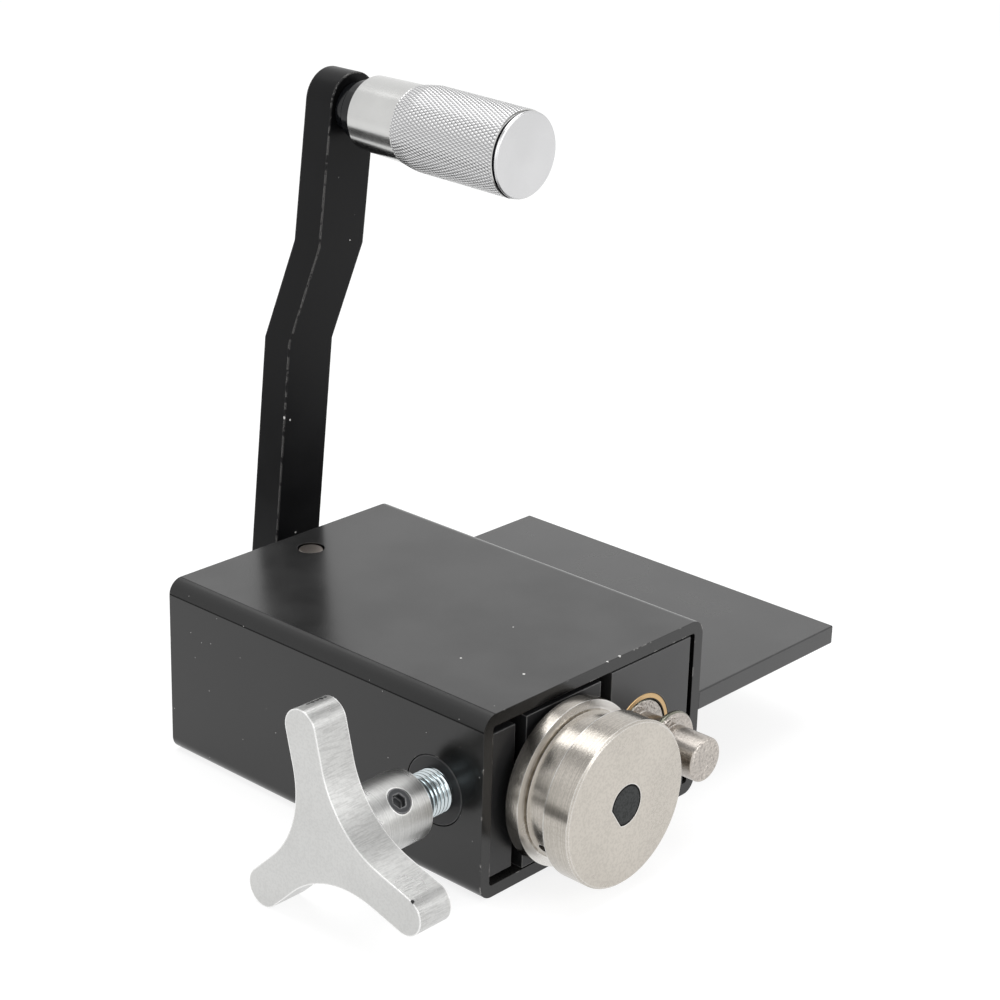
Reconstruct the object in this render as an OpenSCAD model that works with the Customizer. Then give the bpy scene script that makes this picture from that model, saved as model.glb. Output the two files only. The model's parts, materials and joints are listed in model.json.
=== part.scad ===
// Hand-cranked bead roller for small tube and sheet.
// A box-section housing carries two shafts. The crank turns the bead shaft, and the star
// knob swings the idler shaft, with its grooved die, towards the bead and away from it.
// The plate on the side is what a bench vise holds.
// Millimetres. The origin is the centre of the housing's underside, +Z is up, the dies are
// on the -Y side, the plate is on the +X side.

/* [Housing] */
// Outside width of the box section, across the two shafts
housing_w = 100; // [96:1:120]
// Outside height of the box section
housing_h = 60; // [56:1:76]
// Length of the box section from its front face to its back face
housing_len = 136.5; // [110:0.5:180]
// Wall of the box section
wall = 4; // [3:0.25:5]
// Outer radius of the four long corners
corner_r = 5; // [4:0.25:8]

/* [Mounting plate] */
// Reach of the plate from the side of the housing
plate_w = 72; // [40:0.5:110]
// Thickness of the plate
plate_t = 6.5; // [4:0.5:12]
// Height of the plate's middle above the shafts' centre line
plate_rise = 1.2; // [0:0.1:6]
// Leg of the weld bead under the plate
weld_leg = 3; // [2:0.25:5]

/* [Bearing blocks] */
// Gap between the top of the fixed blocks and the roof of the housing
top_gap = 0.6; // [0.4:0.1:3]
// Gap between the top of the sliding block and the roof of the housing
slide_top_gap = 1.5; // [0.8:0.1:3]
// Length of the three blocks at the front, along the shafts
block_len = 38; // [34:1:46]
// Width of the fixed block, which carries the bead shaft
fixed_block_w = 37.6; // [32:0.2:40]
// Gap between the fixed block and the side of the housing
fixed_side_gap = 2.1; // [0.5:0.1:4]
// Gap between the fixed block and the sliding block, with the dies open
throat_gap = 5.1; // [4:0.1:7]
// Gap between the nut block and the sliding block, with the dies open
back_gap = 4.2; // [2.5:0.1:5]
// Length of the rear block, along the shafts
rear_block_len = 23; // [20:1:34]

/* [Bead shaft] */
// Diameter of the shaft in its bushes
shaft_d = 22; // [18:0.5:24]
// Distance of the bead shaft's axis from the fixed block's inner face
drive_inset = 15.4; // [14.5:0.1:18]
// Diameter of the bead
bead_d = 22; // [19:0.5:24]
// Width of the bead
bead_t = 2.7; // [1.5:0.1:4]
// Diameter of the neck behind the bead and of the nose in front of it
nose_d = 14.2; // [11:0.2:16]
// Length of the neck from the front face to the bead
neck_len = 9.7; // [9:0.1:11]
// Length of the nose in front of the bead
nose_len = 12.8; // [8:0.2:20]
// Wall of the bronze bushes
bush_wall = 2; // [1.5:0.1:3]

/* [Grooved die] */
// Diameter of the die's two flanges
die_d = 52; // [48:0.5:54]
// Gap between the die and the nose, with the dies open
nip_open = 5.6; // [4.2:0.1:6]
// Gap between the front face and the back of the die
die_gap = 2.2; // [1.5:0.1:3]
// Width of the die's rear flange
flange_t = 5.2; // [4:0.1:6.5]
// Width of the groove
groove_w = 9.7; // [7:0.1:12]
// Depth of the groove
groove_depth = 3; // [2:0.1:4]
// Width of the die's front disc
disc_t = 9.4; // [5:0.1:14]

/* [Idler shaft] */
// Diameter of the idler shaft
idler_d = 13; // [11:0.25:14]
// Depth of the flat on the idler shaft's front end
flat_depth = 1.35; // [0.6:0.05:2]
// Direction of the flat about the shaft, from +X towards +Z
flat_angle = 213.5; // [0:0.5:360]
// Diameter of the swivel ball at the back of the idler shaft
ball_d = 20; // [18:0.5:22]

/* [Clamp screw] */
// Outer diameter of the clamp screw's thread
screw_d = 14; // [12:0.5:16]
// Pitch of the clamp screw's thread
thread_pitch = 1.5; // [1:0.25:2]
// Thickness of the nut block
nut_block_t = 10; // [7:0.25:12]
// Diameter of the nut block's boss in the housing wall
boss_d = 22; // [19:0.5:26]

/* [Star knob] */
// Diameter of the circle round the tips of the lobes
knob_d = 80; // [64:0.4:100]
// Width of a lobe
lobe_w = 12.2; // [9:0.2:15]
// Thickness of the lobes
knob_t = 12.2; // [8:0.2:16]
// Distance of the valleys between the lobes from the knob's axis
valley_r = 12.1; // [11.5:0.1:16]
// Diameter of the hub
hub_d = 22; // [20:0.5:26]
// Length of the hub
hub_len = 22.5; // [18:0.5:30]
// Gap between the hub and the housing
hub_gap = 10.8; // [5:0.2:16]

/* [Crank] */
// Distance between the bead shaft's axis and the grip's axis
crank_r = 168.5; // [145:0.5:220]
// Width of the crank arm
arm_w = 20; // [18:0.2:26]
// Thickness of the crank arm
arm_t = 12; // [8:0.2:14]
// Distance of the arm's foot from the back of the housing
arm_standoff = 18.7; // [16.5:0.1:26]
// Step of the joggle, towards the front
arm_step = 11.2; // [6:0.2:12]
// Height of the joggle's lower bend above the shaft
bend_low = 88; // [60:1:95]
// Height of the joggle's upper bend above the shaft
bend_high = 123; // [110:1:135]
// Distance that the arm runs on past the grip's axis before its end is rounded
arm_tail = 1.6; // [0:0.1:8]

/* [Grip] */
// Length of the grip with its cap
grip_len = 66; // [55:1:85]
// Diameter of the knurled body
grip_d = 28.2; // [26:0.2:34]
// Diameter of the plain neck where it meets the spacer
grip_neck_d = 24.4; // [22:0.2:25.5]
// Length of the plain neck
grip_neck_len = 20; // [12:0.5:26]
// Diameter of the spindle inside the grip
spindle_d = 12; // [10:0.5:13]

/* [Hidden] */
$fn = 72;

// The photographed position of the crank and of the knob
crank_lean = 5.2;
knob_turn = 14.6;
upper_lean = 1.4;
set_screw_turn = 43.5;

// Clearances
run_clear = 0.04;
seat_clear = 0.02;
thrust_clear = 0.1;
slide_clear = 0.4;
loose_clear = 0.3;
cut = 1;

// Housing
inner_h = housing_h - 2 * wall;
least_inner_r = 0.6;
inner_r = max(corner_r - wall, least_inner_r);
front_y = -housing_len / 2;
back_y = housing_len / 2;
axis_z = housing_h / 2;

// Blocks, from the plate side to the knob side
inner_w = housing_w - 2 * wall;
fixed_block_h = inner_h - top_gap;
sliding_block_h = inner_h - slide_top_gap;
fixed_right = inner_w / 2 - fixed_side_gap;
fixed_left = fixed_right - fixed_block_w;
drive_x = fixed_left + drive_inset;
sliding_right = fixed_left - throat_gap;
nut_right = -inner_w / 2 + nut_block_t;
sliding_left = nut_right + back_gap;
nut_gap = 2.6;
nut_block_h = inner_h - 2 * nut_gap;
nut_side_gap = 0.5;
nut_block_len = block_len - 2 * nut_side_gap;
boss_gap = 0.18;
rear_side_gap = 0.1;

// Shafts and dies
bush_d = shaft_d + 2 * bush_wall;
idler_bush_wall = 2.5;
idler_bush_d = idler_d + 2 * idler_bush_wall;
idler_bush_len = 10;
die_len = flange_t + groove_w + disc_t;
die_front = front_y - die_gap - die_len;
die_edge = 0.6;
root_ring_w = 0.9;
root_ring_h = 0.9;
bead_edge = 0.9;
shaft_edge = 0.5;
pivot_y = back_y - rear_block_len / 2;
ball_w = 14;
race_w = 11;
race_wall = 3;
race_d = ball_d + 2 * race_wall;
idler_passage = 0.3;
idler_x = drive_x - (die_d / 2 + nose_d / 2 + nip_open);

// Clamp screw
screw_y = front_y + block_len / 2;
thread_depth = 0.6 * thread_pitch;
pocket_wall = 1.7;
pocket_depth = idler_x - sliding_left - idler_d / 2 - idler_passage - pocket_wall;
keeper_share = 0.24;
tip_share = 0.32;
keeper_screw_share = 1.1;
keeper_t = keeper_share * pocket_depth;
keeper_side = 22;
tip_d = 9;
tip_neck_d = 5.6;
tip_gap = 0.4;
tip_len = tip_share * pocket_depth;
disc_pad_t = pocket_depth - keeper_t - tip_gap - tip_len - thrust_clear - loose_clear;
pocket_clear = 0.7;
pocket_d = tip_d + 2 * pocket_clear;

// Star knob
knob_outer = -housing_w / 2 - hub_gap - hub_len - knob_t;
knob_inner = knob_outer + knob_t;
hub_edge = 1.2;
hub_floor = 2;
screw_set_d = 8;
screw_set_hex = 4;
lobe_tip_r = lobe_w / 2;
lobe_reach = knob_d / 2 - lobe_tip_r;
valley_arc_x = (valley_r - lobe_tip_r) / (1 - sin(60));
valley_arc_r = valley_arc_x - valley_r;
tip_steps = 18;
valley_steps = 14;

// Crank and grip
arm_front = back_y + arm_standoff;
arm_back = arm_front + arm_t;
arm_up_front = arm_front - arm_step;
tenon_d = 12;
tenon_flat = 1.2;
tenon_short = 0.6;
tenon_clear = 0.1;
drive_washer_t = 1.5;
collar_t = 10;
collar_wall = 7;
ring_t = 1.5;
ring_groove = 1;
ring_stand = 2.5;
crank_bolt_d = 8;
bolt_head_h = 8;
bolt_washer_t = 2;
spindle_thread_d = 10;
collar_ring_t = 4;
collar_ring_d = 17;
spacer_t = 5.2;
spacer_d = 19.6;
spindle_head_d = 17;
spindle_head_h = 4;
grip_shoulder_len = 7;
grip_neck_swell = 1.6;
cap_t = 1.8;
cap_spigot_d = 19;
cap_spigot_len = 3;
cap_groove = 0.8;
cap_edge = 0.4;
grip_back = arm_up_front - collar_ring_t - spacer_t - thrust_clear;
grip_front = grip_back - grip_len;

// Small fasteners
block_screw_d = 6;
screw_end_wall = 4;
block_screw_len = axis_z - bush_d / 2 - screw_end_wall;
csk_head_d = 11.4;
csk_head_h = 3;
csk_sink = 0.2;
block_screw_hex = 4;
dowel_d = 8;
dowel_len = 21;
dowel_wall = 0.9;
dowel_x = idler_x + (race_d + dowel_d) / 2 + dowel_wall;
dowel_sink = 0.4;
dowel_gap = 0.5;
die_set_d = 4;
die_set_len = 8;
collar_set_d = 5;
keeper_screw_d = 3;
keeper_screw_len = keeper_screw_share * pocket_depth;
keeper_screw_z = 8;
hex_depth_share = 0.6;

// Turns a solid made along +Z so that it runs along +Y
module along_y() {
    rotate([-90, 0, 0]) children();
}

// Turns a solid made along +Z so that it runs along +X
module along_x() {
    rotate([0, 90, 0]) children();
}

// Rounded rectangle, centred
module rounded_rect(w, h, r) {
    square([w - 2 * r, h], center = true);
    square([w, h - 2 * r], center = true);
    for (sx = [-1, 1], sy = [-1, 1]) {
        translate([sx * (w / 2 - r), sy * (h / 2 - r)]) circle(r = r);
    }
}

// Plain ring along +Z
module ring(outer_d, inner_d, h) {
    difference() {
        cylinder(d = outer_d, h = h);
        translate([0, 0, -cut]) cylinder(d = inner_d, h = h + 2 * cut);
    }
}

// Disc with a flat on its -X side
module d_shape(d, flat) {
    intersection() {
        circle(d = d);
        translate([-d / 2 + flat, -d]) square([2 * d, 2 * d]);
    }
}

// Ring with a gap, as a snap ring has
module snap_ring(outer_d, inner_d, h) {
    difference() {
        ring(outer_d, inner_d, h);
        translate([0, -inner_d / 4, -cut]) cube([outer_d, inner_d / 2, h + 2 * cut]);
    }
}

// Hexagonal hole, centred, of the given distance across flats
module hex_hole(flats, h) {
    cylinder(d = flats / cos(30), h = h, $fn = 6);
}

// Set screw along +Z with a hexagonal hole in its top
module set_screw(d, h) {
    difference() {
        cylinder(d = d, h = h);
        translate([0, 0, h * (1 - hex_depth_share)]) hex_hole(d / 2, h);
    }
}

// Countersunk screw pointing up, its head at the bottom
module csk_screw(d, h, head_d, head_h, hex) {
    difference() {
        union() {
            cylinder(d1 = head_d, d2 = d, h = head_h);
            cylinder(d = d, h = h);
        }
        translate([0, 0, -cut]) hex_hole(hex, cut + head_h * hex_depth_share);
    }
}

// Countersunk hole for such a screw through the housing floor
module csk_hole() {
    cylinder(d = block_screw_d + 2 * loose_clear, h = wall + cut);
    translate([0, 0, csk_sink]) cylinder(d1 = csk_head_d, d2 = block_screw_d, h = csk_head_h);
    translate([0, 0, -cut]) cylinder(d = csk_head_d, h = cut + csk_sink);
}

// Places of the countersunk screws under the two fixed blocks
module at_fixed_screws() {
    for (share = [1, 3]) {
        translate([(fixed_left + fixed_right) / 2, front_y + block_len * share / 4, 0]) children();
    }
}
module at_rear_screws() {
    for (side = [-1, 1]) {
        translate([side * inner_w / 3, pivot_y, 0]) children();
    }
}

// Frames of the moving groups
module on_drive() {
    translate([drive_x, 0, axis_z]) rotate([0, crank_lean, 0]) children();
}
module on_idler() {
    translate([idler_x, 0, axis_z]) children();
}
// The arm above the joggle leans a little towards the front, and the grip with it
module lean_upper() {
    translate([0, arm_up_front, bend_high]) rotate([upper_lean, 0, 0])
        translate([0, -arm_up_front, -bend_high]) children();
}
module on_grip() {
    on_drive() lean_upper() translate([0, 0, crank_r]) children();
}
module on_screw() {
    translate([0, screw_y, axis_z]) children();
}

module housing() {
    color([0.2, 0.2, 0.2]) difference() {
        translate([0, front_y, axis_z]) along_y() linear_extrude(housing_len) difference() {
            rounded_rect(housing_w, housing_h, corner_r);
            rounded_rect(inner_w, inner_h, inner_r);
        }
        translate([-housing_w / 2 - cut, screw_y, axis_z]) along_x()
            cylinder(d = boss_d + 2 * boss_gap, h = wall + 2 * cut);
        translate([dowel_x, pivot_y, housing_h - wall - cut])
            cylinder(d = dowel_d + 2 * dowel_gap, h = wall + 2 * cut);
        at_fixed_screws() csk_hole();
        at_rear_screws() csk_hole();
    }
}

module mount_plate() {
    color([0.22, 0.22, 0.22]) translate([housing_w / 2, front_y, axis_z + plate_rise - plate_t / 2])
        cube([plate_w, housing_len, plate_t]);
}

module plate_weld() {
    color([0.2, 0.2, 0.2])
        translate([housing_w / 2, front_y + weld_leg, axis_z + plate_rise - plate_t / 2])
        along_y() linear_extrude(housing_len - 2 * weld_leg) polygon([[0, 0], [weld_leg, 0], [0, weld_leg]]);
}

// Standing block between two X places, with its foot a little above the housing floor or on it
module standing_block(left, right, y, len, h, foot) {
    translate([left, y, wall + foot]) cube([right - left, len, h - foot]);
}

module fixed_block() {
    color([0.3, 0.3, 0.3]) difference() {
        standing_block(fixed_left, fixed_right, front_y, block_len, fixed_block_h, 0);
        translate([drive_x, front_y - cut, axis_z]) along_y()
            cylinder(d = bush_d + 2 * seat_clear, h = block_len + 2 * cut);
        at_fixed_screws() cylinder(d = block_screw_d + 2 * seat_clear, h = block_screw_len + loose_clear);
    }
}

module fixed_block_screws() {
    color([0.25, 0.25, 0.27]) at_fixed_screws() translate([0, 0, csk_sink])
        csk_screw(block_screw_d, block_screw_len - csk_sink, csk_head_d, csk_head_h, block_screw_hex);
}

module drive_front_bush() {
    color([0.75, 0.58, 0.32]) translate([drive_x, front_y, axis_z]) along_y()
        ring(bush_d, shaft_d + 2 * run_clear, block_len);
}

module rear_block() {
    color([0.3, 0.3, 0.3]) difference() {
        standing_block(-inner_w / 2 + rear_side_gap, inner_w / 2 - rear_side_gap,
            back_y - rear_block_len, rear_block_len, fixed_block_h, 0);
        for (bore = [[drive_x, bush_d], [idler_x, race_d]]) {
            translate([bore[0], back_y - rear_block_len - cut, axis_z]) along_y()
                cylinder(d = bore[1] + 2 * seat_clear, h = rear_block_len + 2 * cut);
        }
        at_rear_screws() cylinder(d = block_screw_d + 2 * seat_clear, h = block_screw_len + loose_clear);
        translate([dowel_x, pivot_y, housing_h - dowel_sink - dowel_len - loose_clear])
            cylinder(d = dowel_d + 2 * seat_clear, h = dowel_len + cut);
    }
}

module rear_block_screws() {
    color([0.25, 0.25, 0.27]) at_rear_screws() translate([0, 0, csk_sink])
        csk_screw(block_screw_d, block_screw_len - csk_sink, csk_head_d, csk_head_h, block_screw_hex);
}

module rear_block_dowel() {
    color([0.75, 0.74, 0.72]) translate([dowel_x, pivot_y, housing_h - dowel_sink - dowel_len])
        cylinder(d = dowel_d, h = dowel_len);
}

module drive_rear_bush() {
    color([0.75, 0.58, 0.32]) translate([drive_x, back_y - rear_block_len, axis_z]) along_y()
        ring(bush_d, shaft_d + 2 * run_clear, rear_block_len);
}

// Outer ring of the swivel bearing, hollowed by the ball's sphere
module swivel_race() {
    color([0.6, 0.6, 0.6]) translate([idler_x, pivot_y, axis_z]) along_y() rotate_extrude() difference() {
        translate([0, -race_w / 2]) square([race_d / 2, race_w]);
        circle(d = ball_d + 2 * run_clear);
    }
}

// Plate inside the knob-side wall, with its tapped boss flush in the wall
module nut_block() {
    color([0.26, 0.26, 0.26]) on_screw() difference() {
        union() {
            translate([-inner_w / 2, -nut_block_len / 2, -nut_block_h / 2])
                cube([nut_block_t, nut_block_len, nut_block_h]);
            translate([-housing_w / 2, 0, 0]) along_x() cylinder(d = boss_d, h = wall + nut_block_t / 2);
        }
        translate([-housing_w / 2 - cut, 0, 0]) along_x()
            cylinder(d = screw_d + 2 * run_clear, h = wall + nut_block_t + 2 * cut);
    }
}

// Block that carries the front of the idler shaft and swings with it
module sliding_block() {
    color([0.28, 0.28, 0.28]) difference() {
        standing_block(sliding_left, sliding_right, front_y, block_len, sliding_block_h, slide_clear);
        translate([idler_x, front_y - cut, axis_z]) along_y() {
            cylinder(d = idler_d + 2 * idler_passage, h = block_len + 2 * cut);
            cylinder(d = idler_bush_d + 2 * seat_clear, h = idler_bush_len + cut);
            translate([0, 0, block_len + cut - idler_bush_len])
                cylinder(d = idler_bush_d + 2 * seat_clear, h = idler_bush_len + cut);
        }
        on_screw() {
            translate([sliding_left - cut, 0, 0]) along_x() cylinder(d = pocket_d, h = pocket_depth + cut);
            translate([sliding_left - cut, -keeper_side / 2, -keeper_side / 2])
                cube([keeper_t + cut, keeper_side, keeper_side]);
            at_keeper_screws() translate([0, 0, keeper_t])
                cylinder(d = keeper_screw_d + 2 * seat_clear, h = keeper_screw_len - keeper_t + loose_clear);
        }
    }
}

// Places of the two screws that hold the keeper plate, pointing into the sliding block
module at_keeper_screws() {
    for (side = [-1, 1]) {
        translate([sliding_left, side * keeper_screw_z, -keeper_screw_z]) along_x() children();
    }
}

module idler_front_bush() {
    color([0.75, 0.58, 0.32]) on_idler() translate([0, front_y, 0]) along_y()
        ring(idler_bush_d, idler_d + 2 * run_clear, idler_bush_len);
}

module idler_back_bush() {
    color([0.75, 0.58, 0.32]) on_idler() translate([0, front_y + block_len - idler_bush_len, 0]) along_y()
        ring(idler_bush_d, idler_d + 2 * run_clear, idler_bush_len);
}

// Slotted plate let into the sliding block, which holds the neck of the clamp screw's tip
module keeper_plate() {
    slot = tip_neck_d + pocket_d - tip_d;
    side = keeper_side - 2 * seat_clear;
    color([0.6, 0.6, 0.6]) on_screw() difference() {
        translate([sliding_left, -side / 2, -side / 2]) cube([keeper_t, side, side]);
        translate([sliding_left - cut, 0, 0]) along_x() cylinder(d = slot, h = keeper_t + 2 * cut);
        translate([sliding_left - cut, -slot / 2, 0]) cube([keeper_t + 2 * cut, slot, side]);
        at_keeper_screws() translate([0, 0, -cut])
            cylinder(d = keeper_screw_d + 2 * seat_clear, h = keeper_t + 2 * cut);
    }
}

module keeper_screws() {
    color([0.25, 0.25, 0.27]) on_screw() at_keeper_screws() set_screw(keeper_screw_d, keeper_screw_len);
}

// Bronze ball that lets the idler shaft swing
module swivel_ball() {
    color([0.75, 0.58, 0.32]) translate([idler_x, pivot_y, axis_z]) along_y() rotate_extrude()
        intersection() {
            translate([idler_d / 2 + run_clear, -ball_w / 2]) square([ball_d, ball_w]);
            circle(d = ball_d);
        }
}

// Idler shaft, flush with the die's front face, with a flat under the die
module idler_shaft() {
    r = idler_d / 2;
    ring_at = pivot_y + ball_w / 2 + thrust_clear - die_front;
    tail = ring_at + ring_t + ring_stand;
    color([0.36, 0.37, 0.37]) on_idler() translate([0, die_front, 0]) along_y() difference() {
        rotate_extrude() polygon([
            [0, 0], [r, 0], [r, ring_at], [r - ring_groove, ring_at], [r - ring_groove, ring_at + ring_t],
            [r, ring_at + ring_t], [r, tail], [0, tail]
        ]);
        rotate([0, 0, 180 - flat_angle]) translate([-idler_d, -idler_d, -cut])
            cube([r + flat_depth, 2 * idler_d, die_len + cut]);
    }
}

// Die with a wide groove between its rear flange and its front disc
module grooved_die() {
    r = die_d / 2;
    groove_r = r - groove_depth;
    groove_back = die_len - flange_t;
    groove_front = groove_back - groove_w;
    color([0.72, 0.7, 0.67]) on_idler() difference() {
        translate([0, die_front, 0]) along_y() difference() {
            rotate_extrude() polygon([
                [0, 0], [r - die_edge, 0], [r, die_edge], [r, groove_front], [groove_r, groove_front],
                [groove_r, groove_back - root_ring_h], [groove_r - root_ring_h, groove_back - root_ring_h / 2],
                [groove_r + root_ring_w, groove_back], [r, groove_back], [r, die_len - die_edge],
                [r - die_edge, die_len], [0, die_len]
            ]);
            translate([0, 0, -cut]) rotate([0, 0, 180 - flat_angle])
                linear_extrude(die_len + 2 * cut) d_shape(idler_d + 2 * seat_clear, flat_depth);
        }
        at_die_screw() cylinder(d = die_set_d + 2 * seat_clear, h = die_d);
    }
}

// Place of the die's set screw, square to the shaft's flat, in the middle of the groove
module at_die_screw() {
    translate([0, die_front + disc_t + groove_w / 2, 0]) rotate([0, 90 - flat_angle, 0]) children();
}

module die_set_screw() {
    color([0.2, 0.2, 0.22]) on_idler() at_die_screw() translate([0, 0, idler_d / 2 - flat_depth])
        set_screw(die_set_d, die_set_len);
}

module idler_thrust_washer() {
    washer_t = die_gap - thrust_clear;
    washer_d = idler_bush_d + 2 * idler_bush_wall;
    color([0.75, 0.58, 0.32]) on_idler() translate([0, front_y - die_gap, 0]) along_y()
        ring(washer_d, idler_d + 2 * seat_clear, washer_t);
}

module idler_snap_ring() {
    color([0.3, 0.3, 0.32]) on_idler() translate([0, pivot_y + ball_w / 2 + thrust_clear, 0]) along_y()
        snap_ring(idler_d + 2 * ring_groove, idler_d - 2 * ring_groove + 2 * seat_clear, ring_t);
}

// Hardened disc between the tip of the clamp screw and the sliding block
module thrust_disc() {
    x = sliding_left + keeper_t + tip_gap + tip_len + thrust_clear;
    color([0.6, 0.6, 0.6]) on_screw() translate([x, 0, 0]) along_x() cylinder(d = tip_d, h = disc_pad_t);
}

// Outline of a thread drawn as rings, from 0 to len along the screw
function thread_outline(len, r, pitch, depth) = let (n = floor(len / pitch)) [
    for (k = [0 : n - 1], p = [[0, 0], [3 / 8, 1], [5 / 8, 1]])
        [r - depth * (1 - p[1]), (k + p[0]) * pitch],
    [r - depth, n * pitch], [r - depth, len]
];

module clamp_screw() {
    start = knob_inner + hub_floor;
    shoulder = sliding_left - tip_gap;
    len = shoulder - start;
    r = screw_d / 2;
    neck_r = tip_neck_d / 2;
    neck_end = len + tip_gap + keeper_t + tip_gap;
    color([0.72, 0.75, 0.76]) on_screw() translate([start, 0, 0]) along_x() rotate_extrude()
        polygon(concat([[0, 0]], thread_outline(len, r, thread_pitch, thread_depth), [
            [neck_r, len], [neck_r, neck_end], [tip_d / 2, neck_end], [tip_d / 2, neck_end + tip_len],
            [0, neck_end + tip_len]
        ]));
}

// Points of an arc about a centre, from one angle to another
function arc(x, y, r, from, to, steps) = [
    for (k = [0 : steps]) let (a = from + (to - from) * k / steps) [x + r * cos(a), y + r * sin(a)]
];

// A point turned about the origin
function turned(p, a) = [p[0] * cos(a) - p[1] * sin(a), p[0] * sin(a) + p[1] * cos(a)];

// Outline of the three lobes, the first one along -X, each followed by the valley beside it
module star_outline() {
    tip = arc(-lobe_reach, 0, lobe_tip_r, 90, 270, tip_steps);
    valley = arc(-valley_arc_x * cos(60), -valley_arc_x * sin(60), valley_arc_r, 90, 30, valley_steps);
    polygon([for (turn = [0, 120, 240], p = concat(tip, valley)) turned(p, turn)]);
}

module star_knob() {
    hub_back = knob_t + hub_len;
    color([0.8, 0.8, 0.79]) on_screw() difference() {
        translate([knob_outer, 0, 0]) rotate([-knob_turn, 0, 0]) along_x() {
            linear_extrude(knob_t) star_outline();
            rotate_extrude() polygon([
                [0, 0], [hub_d / 2, 0], [hub_d / 2, hub_back - hub_edge], [hub_d / 2 - hub_edge, hub_back],
                [0, hub_back]
            ]);
        }
        translate([knob_inner + hub_floor - cut, 0, 0]) along_x()
            cylinder(d = screw_d + 2 * seat_clear, h = hub_len + 2 * cut);
        at_knob_screw() cylinder(d = screw_set_d + 2 * seat_clear, h = hub_d);
    }
}

module at_knob_screw() {
    translate([knob_inner + hub_len / 2, 0, 0]) rotate([set_screw_turn, 0, 0]) children();
}

module knob_set_screw() {
    h = (hub_d - screw_d) / 2 - loose_clear;
    color([0.12, 0.12, 0.13]) on_screw() at_knob_screw() translate([0, 0, screw_d / 2]) difference() {
        cylinder(d = screw_set_d, h = h);
        translate([0, 0, h * (1 - hex_depth_share)]) hex_hole(screw_set_hex, h);
    }
}

// One turned piece: nose, bead, neck, long journal and a flatted end for the crank
module bead_shaft() {
    nose_r = nose_d / 2;
    bead_r = bead_d / 2;
    shaft_r = shaft_d / 2;
    bead_back = nose_len + bead_t;
    journal = bead_back + neck_len;
    shoulder = journal + housing_len + arm_standoff;
    ring_at = journal + housing_len - rear_block_len - thrust_clear - ring_t;
    tenon_len = arm_t - tenon_short;
    color([0.7, 0.69, 0.67]) on_drive() translate([0, front_y - journal, 0]) along_y() difference() {
        union() {
            rotate_extrude() polygon([
                [0, 0], [nose_r - shaft_edge, 0], [nose_r, shaft_edge], [nose_r, nose_len],
                [bead_r - bead_edge, nose_len], [bead_r, nose_len + bead_edge],
                [bead_r, bead_back - bead_edge], [bead_r - bead_edge, bead_back], [nose_r, bead_back],
                [nose_r, journal], [shaft_r - shaft_edge, journal], [shaft_r, journal + shaft_edge],
                [shaft_r, ring_at], [shaft_r - ring_groove, ring_at], [shaft_r - ring_groove, ring_at + ring_t],
                [shaft_r, ring_at + ring_t], [shaft_r, shoulder], [0, shoulder]
            ]);
            translate([0, 0, shoulder - cut]) linear_extrude(tenon_len + cut) d_shape(tenon_d, tenon_flat);
        }
        translate([0, 0, shoulder - arm_t])
            cylinder(d = crank_bolt_d + 2 * seat_clear, h = 2 * arm_t);
    }
}

module drive_thrust_washer() {
    color([0.75, 0.58, 0.32]) on_drive() translate([0, back_y + thrust_clear, 0]) along_y()
        ring(bush_d + 2 * bush_wall, shaft_d + 2 * seat_clear, drive_washer_t);
}

module drive_collar() {
    color([0.3, 0.3, 0.32]) on_drive() difference() {
        translate([0, back_y + thrust_clear + drive_washer_t, 0]) along_y()
            ring(shaft_d + 2 * collar_wall, shaft_d + 2 * seat_clear, collar_t);
        at_collar_screw() cylinder(d = collar_set_d + 2 * seat_clear, h = shaft_d);
    }
}

module at_collar_screw() {
    translate([0, back_y + thrust_clear + drive_washer_t + collar_t / 2, 0]) children();
}

module collar_set_screw() {
    color([0.12, 0.12, 0.13]) on_drive() at_collar_screw() translate([0, 0, shaft_d / 2 + seat_clear])
        set_screw(collar_set_d, collar_wall - loose_clear);
}

module drive_snap_ring() {
    color([0.3, 0.3, 0.32]) on_drive()
        translate([0, back_y - rear_block_len - thrust_clear - ring_t, 0]) along_y()
        snap_ring(shaft_d + 4 * ring_groove, shaft_d - 2 * ring_groove + 2 * seat_clear, ring_t);
}

// A point of the arm's side view above the joggle, after the lean
function leaned(y, z) = [
    arm_up_front + (y - arm_up_front) * cos(upper_lean) - (z - bend_high) * sin(upper_lean),
    bend_high + (y - arm_up_front) * sin(upper_lean) + (z - bend_high) * cos(upper_lean)
];

// Flat bar with a joggle and round ends
module crank_arm() {
    end_r = arm_w / 2;
    low = -end_r - cut;
    top = crank_r + arm_tail;
    high = top + end_r + cut;
    up_back = arm_up_front + arm_t;
    color([0.13, 0.13, 0.14]) on_drive() difference() {
        intersection() {
            translate([-end_r, 0, 0]) rotate([90, 0, 90]) linear_extrude(arm_w) polygon([
                [arm_front, low], [arm_back, low], [arm_back, bend_low], leaned(up_back, bend_high),
                leaned(up_back, high), leaned(arm_up_front, high), leaned(arm_up_front, bend_high),
                [arm_front, bend_low]
            ]);
            translate([0, arm_up_front - arm_t, 0]) along_y() linear_extrude(3 * arm_t + arm_step) {
                circle(r = end_r);
                translate([0, -top]) circle(r = end_r);
                translate([-end_r, -top]) square([arm_w, top]);
            }
        }
        translate([0, arm_front - cut, 0]) along_y()
            linear_extrude(arm_t + 2 * cut) d_shape(tenon_d + 2 * tenon_clear, tenon_flat);
        lean_upper() translate([0, arm_up_front - cut, crank_r]) along_y()
            cylinder(d = spindle_thread_d + 2 * seat_clear, h = arm_t + 2 * cut);
    }
}

module crank_washer() {
    color([0.3, 0.3, 0.32]) on_drive() translate([0, arm_back, 0]) along_y()
        ring(arm_w - 2 * loose_clear, crank_bolt_d + 2 * loose_clear, bolt_washer_t);
}

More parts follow.
